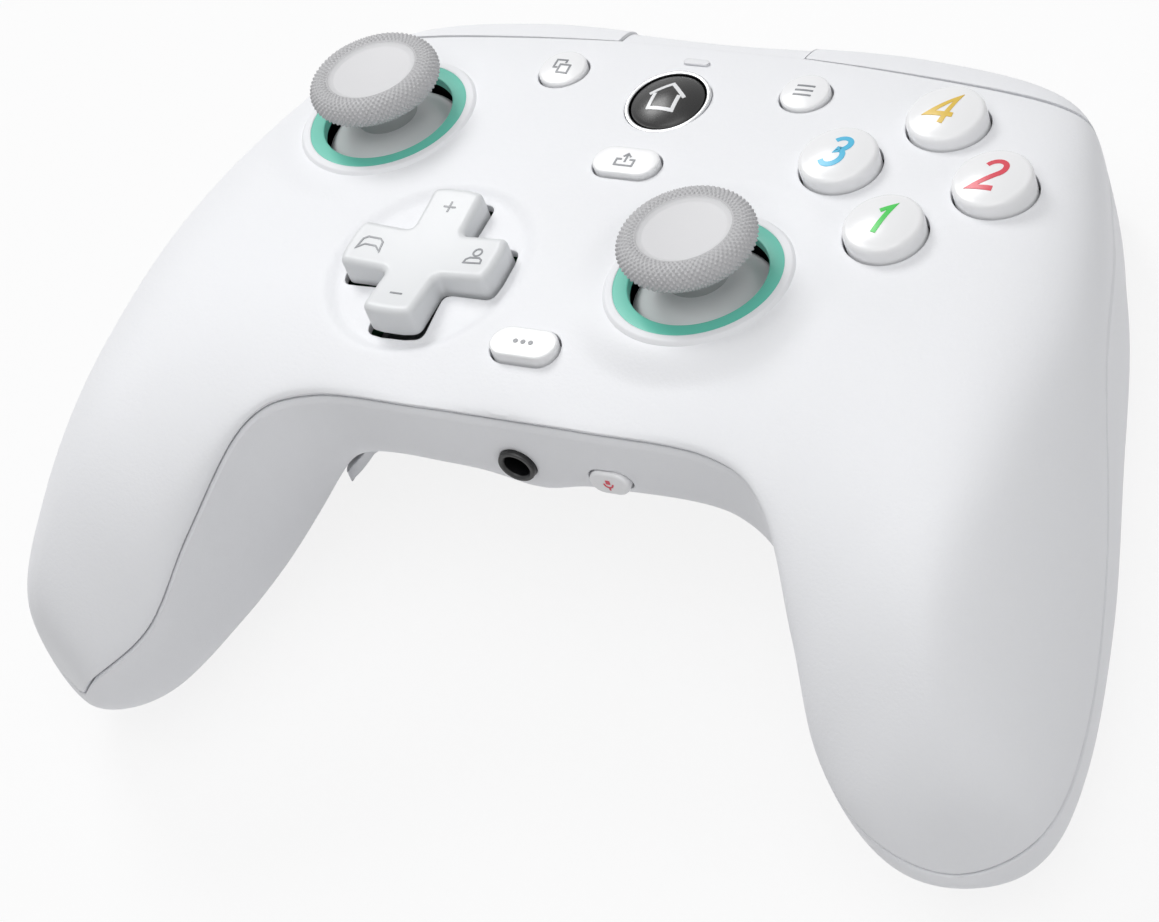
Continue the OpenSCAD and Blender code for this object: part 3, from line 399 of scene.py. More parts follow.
def moulded(name, spec):
    # injection-moulded plastic: even colour with a trace of flow mottle, spark-eroded grain, soft edges;
    # the real grain of about 0.05 mm would only flicker, so it is drawn coarser
    mat, tree, out, where = newMaterial(name)
    flow = addNode(tree, "ShaderNodeTexNoise", {"Scale": 1000 / spec["flowMm"], "Detail": 2}, {"Vector": where})
    tone = addNode(tree, "ShaderNodeMix", {"data_type": "RGBA", 6: linear(spec["hex"]), 7: linear(spec["hexTo"])},
                   {"Factor": flow.outputs["Fac"]})
    grain = addNode(tree, "ShaderNodeTexNoise", {"Scale": 1000 / spec["grainMm"], "Detail": 2.5, "Roughness": 0.6},
                    {"Vector": where})
    edge = addNode(tree, "ShaderNodeBevel", {"samples": 4, "Radius": spec["edgeMm"] / 1000})
    bump = addNode(tree, "ShaderNodeBump", {"Strength": spec["bump"], "Distance": spec["grainMm"] / 4000},
                   {"Height": grain.outputs["Fac"], "Normal": edge.outputs["Normal"]})
    rough = addNode(tree, "ShaderNodeMapRange", {"To Min": spec["rough"] - 0.05, "To Max": spec["rough"] + 0.05},
                    {"Value": grain.outputs["Fac"]})
    shader = addNode(tree, "ShaderNodeBsdfPrincipled", {"IOR": spec["ior"]},
                     {"Base Color": tone.outputs[2], "Roughness": rough.outputs[0], "Normal": bump.outputs["Normal"]})
    tree.links.new(shader.outputs[0], out.inputs[0])
    return mat


def metal(name, spec):
    # drawn or plated metal: streaks of roughness along one way
    mat, tree, out, where = newMaterial(name)
    squeeze = addNode(tree, "ShaderNodeMapping", {"Scale": (1, spec["draw"], 1)}, {"Vector": where})
    streak = addNode(tree, "ShaderNodeTexNoise", {"Scale": 1000 / spec["streakMm"], "Detail": 3},
                     {"Vector": squeeze.outputs[0]})
    rough = addNode(tree, "ShaderNodeMapRange", {"To Min": spec["rough"] - 0.08, "To Max": spec["rough"] + 0.08},
                    {"Value": streak.outputs["Fac"]})
    shader = addNode(tree, "ShaderNodeBsdfPrincipled", {"Base Color": linear(spec["hex"]), "Metallic": 1.0},
                     {"Roughness": rough.outputs[0]})
    tree.links.new(shader.outputs[0], out.inputs[0])
    return mat


mouldedKeys = ("hex", "hexTo", "flowMm", "grainMm", "bump", "rough", "ior", "edgeMm")
metalKeys = ("hex", "draw", "streakMm", "rough")
mouldings = {
    # matt white that shows no lamp, with a faint grain
    "shell_white": ("whiteAbsGrained", "#EFF0F3", "#F2F3F6", 30, 0.45, 0.38, 0.52, 1.5, 0.3),
    # smooth white with soft highlights on the domes
    "button_white": ("whiteAbsPolished", "#F1F2F3", "#F4F4F6", 20, 0.5, 0.03, 0.24, 1.5, 0.2),
    # satin green-blue, the one strong colour
    "ring_mint": ("mintAbsSatin", "#64C4B0", "#69C8B4", 15, 0.4, 0.05, 0.34, 1.5, 0.15),
    # dull pale grey of a soft thumb pad
    "stick_grey": ("greySoftTouchElastomer", "#DADADC", "#DFDFE1", 12, 0.3, 0.12, 0.55, 1.48, 0.05),
    # darker grey that paints in the knurl's small shadows on the rim: painted shade
    "rim_grey": ("greyRubberTreadPaintedShade", "#B9B9BB", "#BEBEC0", 12, 0.3, 0.1, 0.5, 1.48, 0.03),
    # white a shade under the buttons, less glossy
    "dpad_white": ("whiteAbsSatin", "#DFE1E3", "#E2E4E6", 20, 0.5, 0.03, 0.36, 1.5, 0.2),
    # slick dome, coloured paler than its own grey to make up for the cap's shadow over it: painted light
    "skirt_grey": ("greyAcetalSkirtPaintedLight", "#E4E4E6", "#E8E8EA", 12, 0.4, 0.06, 0.4, 1.48, 0.1),
    # deep black with one soft highlight
    "home_black": ("blackAcrylicDome", "#0B0B0C", "#101011", 15, 0.5, 0.01, 0.28, 1.49, 0.1),
    # greyish, slightly shiny slip of light
    "lens": ("frostedPolycarbonate", "#D9DADD", "#E0E1E4", 8, 0.3, 0.05, 0.3, 1.58, 0.1),
    # dark green glimpsed past the triggers
    "board_green": ("greenSolderMask", "#1F5A37", "#246540", 5, 0.4, 0.05, 0.35, 1.5, 0.1),
    # dull mid grey
    "silicone": ("greySiliconeMat", "#8C8E90", "#949698", 10, 0.4, 0.1, 0.6, 1.41, 0.2),
    # black mouth with a thin bright edge
    "jack_black": ("blackNylonMoulded", "#070708", "#0B0B0C", 10, 0.3, 0.08, 0.38, 1.53, 0.2),
    # plain mid grey inside
    "inner_plastic": ("greyAcetal", "#77787A", "#808183", 10, 0.4, 0.08, 0.4, 1.48, 0.2),
}
metals = {
    # bright thin rim
    "home_chrome": ("satinChromePlate", "#C9CACC", 6, 0.6, 0.2),
    # grey screw heads and pins
    "steel": ("coldRolledSteel", "#B8B8BA", 10, 0.8, 0.35),
    # warm pale metal
    "switch_metal": ("nickelSilverSheet", "#C4C2BC", 8, 0.5, 0.3),
}
finishes = {slot: moulded(name, dict(zip(mouldedKeys, row))) for slot, (name, *row) in mouldings.items()}
finishes.update({slot: metal(name, dict(zip(metalKeys, row))) for slot, (name, *row) in metals.items()})
inks = {"ink_green": "#43CE55", "ink_red": "#DC4355", "ink_blue": "#4FBDE3", "ink_gold": "#E2BE49",
        "ink_grey": "#85888C", "ink_white": "#E8E9EB"}
# printed ink: flat even colour
for ink, code in inks.items():
    finishes[ink] = moulded(ink.replace("_", "") + "Print",
                            dict(zip(mouldedKeys, (code, code, 10, 0.3, 0.04, 0.3, 1.5, 0.02))))
for entry in frame["record"]["subparts"]:
    node = frame["nodes"][entry["node"]]
    node.data.materials.clear()
    node.data.materials.append(finishes[entry["material_slot"]])
print("materials:", len(finishes))

# slots of the record that carry more than one finish here
recordSlot = {"skirt_grey": "stick_grey", "rim_grey": "stick_grey", "dpad_white": "button_white",
              **dict.fromkeys(inks, "button_white")}


def fit(obj, slot, bodyName, *nodes):
    # gives a piece its finish, its body and the nodes it stands for
    obj.data.materials.clear()
    obj.data.materials.append(finishes[slot])
    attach(obj, bodyName)
    if nodes:
        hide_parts(*nodes)
    return obj


# Cutters shared by the shells; past says how far they run beyond the body
shoulder = {"bridgeHalf": 14, "bridgeY": 33, "bridgeDepth": 20, "bridgeSink": 0.3, "bumperDepth": 12.5,
            "bumperStep": 2, "bumperKink": 24.5, "triggerX": 40.5, "triggerWidth": 20, "triggerTop": -13.1,
            "triggerLow": -32, "triggerY": 29, "triggerZ": -16.5, "triggerFront": 8, "triggerRoom": 5,
            "socketLength": 9.6, "socketWidth": 3.8, "socketZ": -13.4, "line": 0.14}
past = {"side": 10, "bumperBack": 60, "bumperTop": 30, "bridgeBack": 75, "bridgeTop": 20, "triggerBack": 69,
        "face": 12, "socketFrom": 20, "socketTo": 60, "stemLow": -70, "stemTop": -10, "screwLow": -80}


def bumperZone(clear, swing, side):
    # space of a bumper, widened by clear; swing moves its front edge back for the press
    s = shoulder
    inX, outX, far = s["bridgeHalf"] + gap - clear, hw + past["side"], past["bumperBack"]
    outY = s["bridgeY"] - s["bumperStep"] - clear + swing
    o = np.array([[inX, s["bridgeY"] - clear], [hw - s["bumperKink"], outY], [outX, outY], [outX, far], [inX, far]])
    o = o * [side, 1]
    return prism("zone", o if side > 0 else o[::-1], -s["bumperDepth"] - clear, past["bumperTop"])


def bridgeZone(clear):
    x, y, far = shoulder["bridgeHalf"] + clear, shoulder["bridgeY"] - clear, past["bridgeBack"]
    return prism("zone", [[-x, y], [x, y], [x, far], [-x, far]], -shoulder["bridgeDepth"] - clear, past["bridgeTop"])


def triggerZone(clear, side):
    s = shoulder
    a, b = s["triggerX"] - s["triggerWidth"] / 2 - clear, s["triggerX"] + s["triggerWidth"] / 2 + clear
    near, far = s["triggerY"] - s["triggerFront"], past["triggerBack"]
    o = np.array([[a, near], [b, near], [b, far], [a, far]]) * [side, 1]
    return prism("zone", o if side > 0 else o[::-1], s["triggerLow"] - s["triggerRoom"], s["triggerTop"] + clear)


def crossOutline(half, width, corner, steps=8):
    # plus-shaped outline with bulging ends and rounded corners
    h, w, b = half, width / 2, dpad["bulge"]
    quarter = np.array([[h - b, -w], [h, -w * 0.4], [h, w * 0.4], [h - b, w], [w, w]])
    pts = np.concatenate([quarter @ np.array([[math.cos(a), math.sin(a)], [-math.sin(a), math.cos(a)]])
                          for a in (0, np.pi / 2, np.pi, 3 * np.pi / 2)])
    loop = np.concatenate([pts[-1:], pts, pts[:1]])
    return fillet(loop, [corner, 4, 4, corner, corner * 0.6] * 4, steps)[1:-1]


action = {"radius": 5.3, "height": 2.8, "crown": 0.9, "edge": 0.8}
small = {"radius": 3.4, "height": 1, "crown": 0.3, "edge": 0.4}
buttons = {
    "button_south": {"at": (39.5, 1.4), **action}, "button_east": {"at": (50.1, 12), **action},
    "button_west": {"at": (28.9, 12), **action}, "button_north": {"at": (39.5, 22.6), **action},
    "view_button": {"at": (-18.4, 24.5), **small}, "menu_button": {"at": (18.4, 24.5), **small},
}
capDepth = 2.3
home = {"at": (0, 20), "radius": 6, "rim": 0.6, "rimRise": 0.3, "rimDepth": 2.2, "height": 1.2, "crown": 1.1}
pills = {"share_button": (0, 7.2), "mode_button": (0, -25.2)}
pillSize = {"length": 9.6, "width": 5, "height": 0.9, "edge": 0.28}
lens = {"at": (0, 29), "length": 3.8, "width": 1}


def holeCutters():
    # every hole of the face as an outline in place, then as a prism through the face
    pill = stadium(pillSize["length"] + 2 * gap, pillSize["width"] + 2 * gap)
    wider = dpad["gap"]
    outlines = [circle(ring["radius"] - 0.1) + at for at in sticks.values()]
    outlines += [circle(b["radius"] + gap, 64) + b["at"] for b in buttons.values()]
    outlines.append(circle(home["radius"] + 0.05) + home["at"])
    outlines += [pill + at for at in pills.values()]
    outlines.append(stadium(lens["length"] + 0.1, lens["width"] + 0.1, 10) + lens["at"])
    cross = crossOutline(dpad["half"] + wider, dpad["width"] + 2 * wider, dpad["corner"] + wider)
    outlines.append(cross + dpad["at"])
    return [prism("hole", outline, -past["face"], past["face"]) for outline in outlines]


def joined(name, objs):
    # several cutters that don't touch, as one mesh
    work = bmesh.new()
    for o in objs:
        work.from_mesh(o.data)
        bpy.data.objects.remove(o)
    mesh = bpy.data.meshes.new(name)
    work.to_mesh(mesh)
    work.free()
    obj = bpy.data.objects.new(name, mesh)
    bpy.context.scene.collection.objects.link(obj)
    return obj


frontShell = shellMesh("frontShellAbs", True)
carve(frontShell, [joined("holes", holeCutters())])
for s in (-1, 1):
    carve(frontShell, [bumperZone(shoulder["line"], 0, s)])
carve(frontShell, [bridgeZone(shoulder["line"])])
tidyMesh(frontShell)
fit(frontShell, "shell_white", "housing", "front_shell")
print("front shell:", len(frontShell.data.polygons), "faces")


def axesAlongY(points):
    # local (across, up, out) with out pointing at the player
    p = np.asarray(points, float)
    return np.stack([p[..., 0], -p[..., 2], p[..., 1]], -1)


def offsetOutline(outline, inset):
    # outline moved inward, square to itself
    d = np.roll(outline, -1, 0) - np.roll(outline, 1, 0)
    d = d / np.maximum(np.linalg.norm(d, axis=1, keepdims=True), 1e-9)
    return outline + inset * np.c_[-d[:, 1], d[:, 0]]


def plateau(name, origin, outline, sides, topAt, fan=10, turn=None, follow=None):
    # sides carried round an outline as (inset, height), closed by rings that shrink to the middle at height
    # topAt; with follow, the sides' upper part is lowered to meet that height
    rows = [np.c_[offsetOutline(outline, inset), np.full(len(outline), h)] for inset, h in sides]
    rim = rows[-1][:, :2]
    if follow is not None:
        lower = follow(rim[:, 0], rim[:, 1]) - sides[-1][1]
        for row in rows[1:]:
            row[:, 2] += lower
    for k in np.linspace(1, 0, fan + 1)[1:]:
        flat = rim * k
        rows.append(np.c_[flat, topAt(flat[:, 0], flat[:, 1])])
    grid = np.array(rows)
    local = grid if turn is None else turn(grid)
    obj = addMesh(name, local + np.asarray(origin), gridQuads(len(rows), len(outline), wrapCols=True))
    return tidyMesh(obj, sharp=50)


def softSides(low, high, edge, steps=7):
    # straight side from low to high with a quarter round at the top
    a = np.linspace(0, np.pi / 2, steps)
    arc = np.c_[edge * (1 - np.cos(a)), high - edge + edge * np.sin(a)]
    return [(0, low)] + arc.tolist()


# Thumbsticks
stick = {"capRadius": 9.15, "rimHeight": 8.4, "rimAcross": 2.0, "rimUp": 2.0, "rimFrom": 118, "rimTo": -84,
         "border": 0.55, "step": 0.35, "discDepth": 0.5, "neck": 4.2, "domeRadius": 12.6, "domeCentre": 11.6,
         "domeTop": 14, "domeEdge": 48, "domeWall": 0.9, "knurlCount": 68, "knurlPitch": 0.9, "knurlDepth": 0.2}


def leanAxes(side):
    # lays local points along the leaning ring: z goes to the normal of its plane
    across, back = stickLean[side]
    n = np.array([across, back, 1]) / math.sqrt(across ** 2 + back ** 2 + 1)
    u = np.cross([0, 1, 0], n)
    u = u / np.linalg.norm(u)
    axes = np.stack([u, np.cross(n, u), n])
    return lambda points: np.asarray(points) @ axes


def capProfile():
    # hollow disc with a narrow border, then an elliptical rim, then the neck under it
    st = stick
    mid = st["capRadius"] - st["rimAcross"]
    a = np.radians(np.linspace(st["rimFrom"], st["rimTo"], 88))
    rim = np.c_[mid + st["rimAcross"] * np.cos(a), st["rimHeight"] - st["rimUp"] * (1 - np.sin(a))]
    edge, low = rim[0], rim[-1, 1]
    r = np.linspace(0, edge[0] - st["border"], 22)
    floor = edge[1] - st["step"]
    disc = np.concatenate([np.c_[r, floor - st["discDepth"] * (1 - (r / r[-1]) ** 2)],
                           [[r[-1] + 0.12, floor + 0.12], [edge[0] - 0.1, floor + 0.16]]])
    under = fillet([rim[-1], [st["neck"] + 0.6, low - 0.15], [st["neck"], low - 0.8],
                    [st["neck"], st["domeRadius"] - st["domeCentre"] - 1]], [0.4, 0.5])[1:]
    return disc, rim, under


def addStick(side, at):
    st = stick
    spot, lay = onFace(at), leanAxes(side)
    disc, rim, under = capProfile()
    run = np.concatenate([[0], np.cumsum(np.linalg.norm(np.diff(rim, axis=0), axis=1))])
    fade = np.clip(np.minimum(run / 0.4, (run[-1] - run) / 0.6), 0, 1)

    def knurl(ang):
        # crossed waves kept only where they rise: points in a diamond lattice round the rim, fading at its edges
        wave = np.cos(st["knurlCount"] * ang) * np.cos(2 * np.pi * run / st["knurlPitch"])[None, :]
        return st["knurlDepth"] * fade[None, :] * (np.maximum(wave, 0) ** 0.7 - 0.6)

    tread = revolve(side + "ThumbRim", spot, rim, st["knurlCount"] * 12, knurl, lay)
    # the rim takes the darker grey, painted shade for the knurl's shadows
    fit(tidyMesh(tread, sharp=70), "rim_grey", side + "_stick", side + "_stick_cap")
    pad = revolve(side + "ThumbDisc", spot, np.concatenate([disc, rim[:1]]), 128, turn=lay)
    fit(tidyMesh(pad, sharp=60), "stick_grey", side + "_stick")
    neck = revolve(side + "ThumbNeck", spot, np.concatenate([rim[-1:], under]), 128, turn=lay)
    # the neck takes the same darker grey, with its painted shade
    fit(tidyMesh(neck, sharp=60), "rim_grey", side + "_stick")
    a = np.radians(np.linspace(st["domeTop"], st["domeEdge"], 40))
    arc = np.c_[np.sin(a), np.cos(a)]
    dome = st["domeRadius"] * arc - [0, st["domeCentre"]]
    inner = (st["domeRadius"] - st["domeWall"]) * arc[::-1] - [0, st["domeCentre"]]
    skirt = revolve(side + "DomeSkirt", spot, np.concatenate([dome, inner, dome[:1]]), 128, turn=lay)
    # the dome's pale grey is painted light against the cap's shadow
    fit(tidyMesh(skirt, sharp=50), "skirt_grey", side + "_stick")
    w, r, high = ring["width"], ring["radius"], ring["collarHeight"]
    prof = fillet([[r - w, -ring["lipDepth"]], [r - w, ring["rise"]], [r, ring["rise"]], [r, -ring["depth"]]],
                  [0.22, 0.1])
    mint = revolve(side + "MintRing", spot, prof, 160, turn=lay)
    fit(tidyMesh(mint, sharp=40), "ring_mint", "housing", side + "_stick_ring")
    top, foot, low = r + ring["collar"] - 0.1, r + ring["collar"] + ring["collarFlare"], -ring["collarDepth"]
    prof = fillet([[r - 0.02, low], [r - 0.02, high], [top, high], [foot, -0.25], [foot, low]], [0.1, 0.25, 0.2])
    collar = revolve(side + "Collar", spot, prof, 160, turn=lay)
    fit(tidyMesh(collar, sharp=40), "shell_white", "housing")
    # black sleeve under the ring where the object has no part, a dark piece put in the gap's shade: painted shade
    prof = [[r - w + 0.02, -1.0], [r - w + 0.3, -ring["lipDepth"]], [r - 0.2, -3.4], [r + 0.2, -6]]
    shadeLiner = revolve(side + "PaintedShadeLiner", spot, prof, 96, turn=lay)
    fit(tidyMesh(shadeLiner), "jack_black", "housing")


for side, at in sticks.items():
    addStick(side, at)
print("sticks built")


# Direction pad
def dpadTop(x, y):
    # one shallow hollow over the whole cross, deepest in the middle
    return dpad["height"] - dpad["hollow"] * np.maximum(1 - (x ** 2 + y ** 2) / dpad["half"] ** 2, 0)


def addDpad():
    d = dpad
    outline = crossOutline(d["half"], d["width"], d["corner"])
    sides = np.array(softSides(-d["skirt"], d["height"], d["edge"]))
    obj = plateau("dpadCross", onFace(d["at"]), outline, sides, dpadTop, 20, follow=dpadTop)
    fit(obj, "dpad_white", "dpad", "dpad")


addDpad()


# Round and pill buttons
def domeOf(b, radius):
    # part of a ball that rises by the crown over the radius, up to the button's height
    ball = (radius ** 2 + b["crown"] ** 2) / (2 * b["crown"])
    return lambda x, y: b["height"] - ball + np.sqrt(ball ** 2 - x ** 2 - y ** 2)


def flatTop(height):
    return lambda x, y: np.full(len(x), height)


homeRadius = home["radius"] - home["rim"] - gap
tops = {name: domeOf(b, b["radius"]) for name, b in buttons.items()}
tops["home_button"] = domeOf(home, homeRadius)


def addButtons():
    for name, b in buttons.items():
        sides = softSides(-capDepth, float(tops[name](b["radius"] - b["edge"], 0)), b["edge"])
        piece = plateau(name + "Cap", onFace(b["at"]), circle(b["radius"], 128), sides, tops[name], 14)
        fit(piece, "button_white", name, name)
    sides = softSides(-capDepth, pillSize["height"], pillSize["edge"])
    for name, at in pills.items():
        outline = stadium(pillSize["length"], pillSize["width"], 32)
        piece = plateau(name + "Cap", onFace(at), outline, sides, flatTop(pillSize["height"]), 6)
        fit(piece, "button_white", name, name)
    spot, out, low = onFace(home["at"]), home["radius"], -home["rimDepth"]
    sides = softSides(-capDepth, home["height"] - home["crown"], 0.1)
    dome = plateau("homeDome", spot, circle(homeRadius, 128), sides, tops["home_button"], 18)
    fit(dome, "home_black", "home_button", "home_button")
    inner, rise = out - home["rim"], home["rimRise"]
    prof = fillet([[inner, low], [inner, rise], [out, rise], [out, low]], [0.2, 0.2])
    fit(tidyMesh(revolve("homeRim", spot, prof, 128)), "home_chrome", "housing", "home_ring")


addButtons()
print("buttons built")

# Rear shell
paddle = {"at": (37, -13), "stem": 2}
shellScrew = {"at": [(54, -12, -25), (63, -47, -34)], "headRoom": 2.5, "boss": 3}


def wallCutter(name, outline, at, near, far):
    # prism along Y through the front wall
    return prism(name, np.asarray(outline) + at, near, far, lambda p: toRow(p[..., [0, 2, 1]]))


rearShell = shellMesh("rearShellAbs", False, 150, 170, 26)
holes = [wallCutter("cutJack", circle(front["jackRadius"] + 0.05, 64), (0, front["jackZ"]),
                    front["cutFrom"], front["cutTo"]),
         wallCutter("cutMute", stadium(front["muteWidth"] + 2 * gap, front["muteHeight"] + 2 * gap),
                    (front["muteX"], front["muteZ"]), front["cutFrom"], front["cutTo"])]
for s in (-1, 1):
    stem = circle(paddle["stem"] + gap, 48) + np.multiply(paddle["at"], [s, 1])
    holes.append(prism("cutStem", stem, past["stemLow"], past["stemTop"]))
for x, y, z in shellScrew["at"]:
    for s in (1, -1):
        head = circle(shellScrew["headRoom"], 48) + [s * x, y]
        holes.append(prism("cutScrew", head, past["screwLow"], z - shellScrew["boss"]))
carve(rearShell, [joined("rearHoles", holes)])
for s in (-1, 1):
    carve(rearShell, [bumperZone(gap, 0, s)])
    carve(rearShell, [triggerZone(gap, s)])
carve(rearShell, [bridgeZone(gap)])
tidyMesh(rearShell)
fit(rearShell, "shell_white", "housing", "rear_shell")
print("rear shell:", len(rearShell.data.polygons), "faces")

# Bumpers, bridge, triggers and rest pad
slotOf = {entry["node"]: entry["material_slot"] for entry in frame["record"]["subparts"]}
trigger = {"skin": 1.8, "edge": 1.4, "hub": 3, "swing": 0.55}
restPad = {"width": 36, "length": 12, "height": 5, "corner": 4, "edge": 0.4}


def bodySolid(name, stations, inset, count=150):
    # closed loft of the whole body between stations that carry their side as a sign
    u = np.abs(stations)
    over, under = evenArc(u, count, inset, True), evenArc(u, count, inset, False)
    loop = np.concatenate([over, under[:, -2:0:-1]], 1)
    loop[..., 0] *= np.where(stations < 0, -1, 1)[:, None]
    rows, cols = loop.shape[:2]
    k = np.arange(cols)
    caps = [np.stack([row * cols + k, row * cols + (k + 1) % cols, np.full(cols, rows * cols + end)], -1)
            for end, row in ((0, 0), (1, rows - 1))]
    verts = np.concatenate([loop.reshape(-1, 3), loop[[0, -1]].mean(1)])
    return tidyMesh(addMesh(name, verts, gridQuads(rows, cols, wrapCols=True), np.concatenate(caps)))


def roundedPrism(name, outline, low, high, edge, place):
    # closed outline between two heights, with quarter rounds at both ends
    a = np.linspace(0, np.pi / 2, 7)
    inset = edge * (1 - np.sin(a))
    ends = edge * (1 - np.cos(a))
    sides = list(zip(inset, low + ends)) + list(zip(inset, high - ends))[::-1]
    n = len(outline)
    rows = np.array([np.c_[offsetOutline(outline, i), np.full(n, h)] for i, h in sides])
    caps = [np.arange(n), np.arange(n) + (len(rows) - 1) * n]
    return tidyMesh(addMesh(name, rows, gridQuads(len(rows), n, wrapCols=True), place=place, caps=caps))


def alongX(points):
    # points given as (back, up, across)
    return toRow(points[..., [2, 0, 1]])


def triggerOutline():
    # side of a trigger in y and z: flat top, hooked finger face, thin lip, back up to the hub
    t, top, low, z = shoulder["triggerY"], shoulder["triggerTop"], shoulder["triggerLow"], shoulder["triggerZ"]
    p = np.array([[t, top], [by - 3, top], [by - 0.6, top - 1.2], [by + 0.9, top - 4], [by + 1.2, top - 7.5],
                  [by + 0.9, top - 11], [by + 1.5, top - 14.5], [by + 3, low + 1.4], [by + 2.4, low + 0.2],
                  [by + 1, low], [by - 2, low + 3], [by - 6, top - 12], [t + 1, z - trigger["hub"] + 0.4], [t, z]])
    return fillet(np.concatenate([p[-1:], p, p[:1]]), [3] * len(p), 7)[1:-1][::-1]


def addShoulders():
    for name, s in (("left", -1), ("right", 1)):
        bumper = bodySolid(name + "BumperAbs", s * np.linspace(0.03, 0.68, 64), 0)
        carve(bumper, [bumperZone(0, trigger["swing"], s)], "INTERSECT")
        fit(tidyMesh(bumper), slotOf[name + "_bumper"], name + "_bumper", name + "_bumper")
        half, mid = shoulder["triggerWidth"] / 2, s * shoulder["triggerX"]
        pull = roundedPrism(name + "TriggerAbs", triggerOutline(), mid - half, mid + half, trigger["edge"], alongX)
        top, low, t, skin = shoulder["triggerTop"], shoulder["triggerLow"], shoulder["triggerY"], trigger["skin"]
        pocket = [[t + trigger["hub"] + 0.6, top - skin], [by - 3.6, top - skin], [by - 1.6, top - 5],
                  [by - 1.4, top - 10], [by - 1, low + 5], [t, low + 5]]
        carve(pull, [prism("pocket", pocket, mid - half + skin, mid + half - skin, alongX)])
        fit(tidyMesh(pull), slotOf[name + "_trigger"], name + "_trigger", name + "_trigger")
    bridge = bodySolid("topBridgeAbs", np.linspace(-0.22, 0.22, 45), shoulder["bridgeSink"])
    carve(bridge, [bridgeZone(0)], "INTERSECT")
    carve(bridge, [wallCutter("cutSocket", stadium(shoulder["socketLength"], shoulder["socketWidth"]),
                              (0, shoulder["socketZ"]), past["socketFrom"], past["socketTo"])])
    fit(tidyMesh(bridge), slotOf["top_bridge"], "housing", "top_bridge")
    w, l = restPad["width"] / 2, restPad["length"] / 2
    corners = np.array([[-w, -l], [w, -l], [w, l], [-w, l]])
    outline = fillet(np.concatenate([corners[-1:], corners, corners[:1]]), [restPad["corner"]] * 4, 9)[1:-1]
    foot = roundedPrism("restPadAbs", outline, 0, restPad["height"], restPad["edge"], lambda p: p / 1000)
    fit(foot, "shell_white", "housing")


addShoulders()
print("shoulders built")


# Jack and mute button in the front wall
def addFrontWallPieces():
    f = front
    mouth = np.array([0, -fy, f["jackZ"]])
    bore, out, rise = f["jackBore"], f["jackRadius"], f["jackRise"]
    prof = fillet([[bore, -12], [bore, rise - 0.3], [bore + 0.25, rise], [out - 0.1, rise], [out, rise - 0.25],
                   [out, -4]], [0.1] * 4)
    sleeve = revolve("jackSleeve", mouth, prof, 96, turn=axesAlongY)
    fit(tidyMesh(sleeve, sharp=40), "jack_black", "housing", "audio_jack")
    outline = stadium(f["muteWidth"], f["muteHeight"], 32)
    sides = softSides(-3, f["muteRise"], f["muteEdge"])
    cap = plateau("muteCap", (f["muteX"], -fy, f["muteZ"]), outline, sides, flatTop(f["muteRise"]), 6,
                  turn=axesAlongY)
    fit(cap, "button_white", "mute_button", "mute_button")


addFrontWallPieces()


# Printed and engraved marks
marks = {"raise": 0.02, "thick": 0.05, "cell": 0.5, "figureLine": 0.75, "slant": 0.2, "line": 0.26, "homeLine": 0.55,
         "arm": 8.0, "micLines": (0.6, 0.22, 0.22)}


def splitFine(work):
    # halves long edges until they are short enough to bend
    bmesh.ops.triangulate(work, faces=work.faces)
    for _ in range(5):
        far = [e for e in work.edges if e.calc_length() > marks["cell"]]
        bmesh.ops.subdivide_edges(work, edges=far, cuts=1)
        bmesh.ops.triangulate(work, faces=work.faces)


def inkSolid(name, flat, origin, heightAt, turn=None):
    # a flat mesh in mm with its own small thickness, split finely and bent onto the surface at heightAt
    rework(flat, splitFine)
    co = np.empty(len(flat.vertices) * 3)
    flat.vertices.foreach_get("co", co)
    co = co.reshape(-1, 3)
    co[:, 2] += heightAt(co[:, 0], co[:, 1]) + marks["raise"]
    local = co if turn is None else turn(co)
    flat.vertices.foreach_set("co", toRow(local + np.asarray(origin)).ravel())
    flat.update()
    obj = bpy.data.objects.new(name, flat)
    bpy.context.scene.collection.objects.link(obj)
    return obj


def strokes(name, lines, width, origin, heightAt, turn=None):
    # each line is a path of points with an oblong section
    verts, quads, t = [], [], marks["thick"]
    for line in lines:
        p = np.asarray(line, float)
        closed = bool(np.allclose(p[0], p[-1]) and len(p) > 2)
        p = p[:-1] if closed else p
        d = np.roll(p, -1, 0) - p
        if not closed:
            d[-1] = d[-2]
        d = d / np.linalg.norm(d, axis=1, keepdims=True)
        before = np.roll(d, 1, 0)
        if not closed:
            before[0] = d[0]
        mid = d + before
        mid = mid / np.linalg.norm(mid, axis=1, keepdims=True)
        side = np.c_[-mid[:, 1], mid[:, 0]] / np.maximum((mid * d).sum(1, keepdims=True), 0.4) * width / 2
        section = [np.c_[p + k * side, np.full(len(p), z)] for k, z in ((1, -t), (-1, -t), (-1, t), (1, t))]
        first = sum(map(len, verts))
        verts.append(np.stack(section, 1).reshape(-1, 3))
        quads.append(gridQuads(len(p), 4, wrapRows=closed, wrapCols=True, offset=first))
        if not closed:
            end = first + 4 * (len(p) - 1)
            quads.append(np.array([[first, first + 1, first + 2, first + 3], [end, end + 3, end + 2, end + 1]]))
    flat = addMesh(name, np.concatenate(verts), np.concatenate(quads), place=lambda q: q)
    mesh = flat.data
    bpy.data.objects.remove(flat)
    return tidyMesh(inkSolid(name, mesh, origin, heightAt, turn))


def closedLine(points):
    return np.concatenate([points, points[:1]])


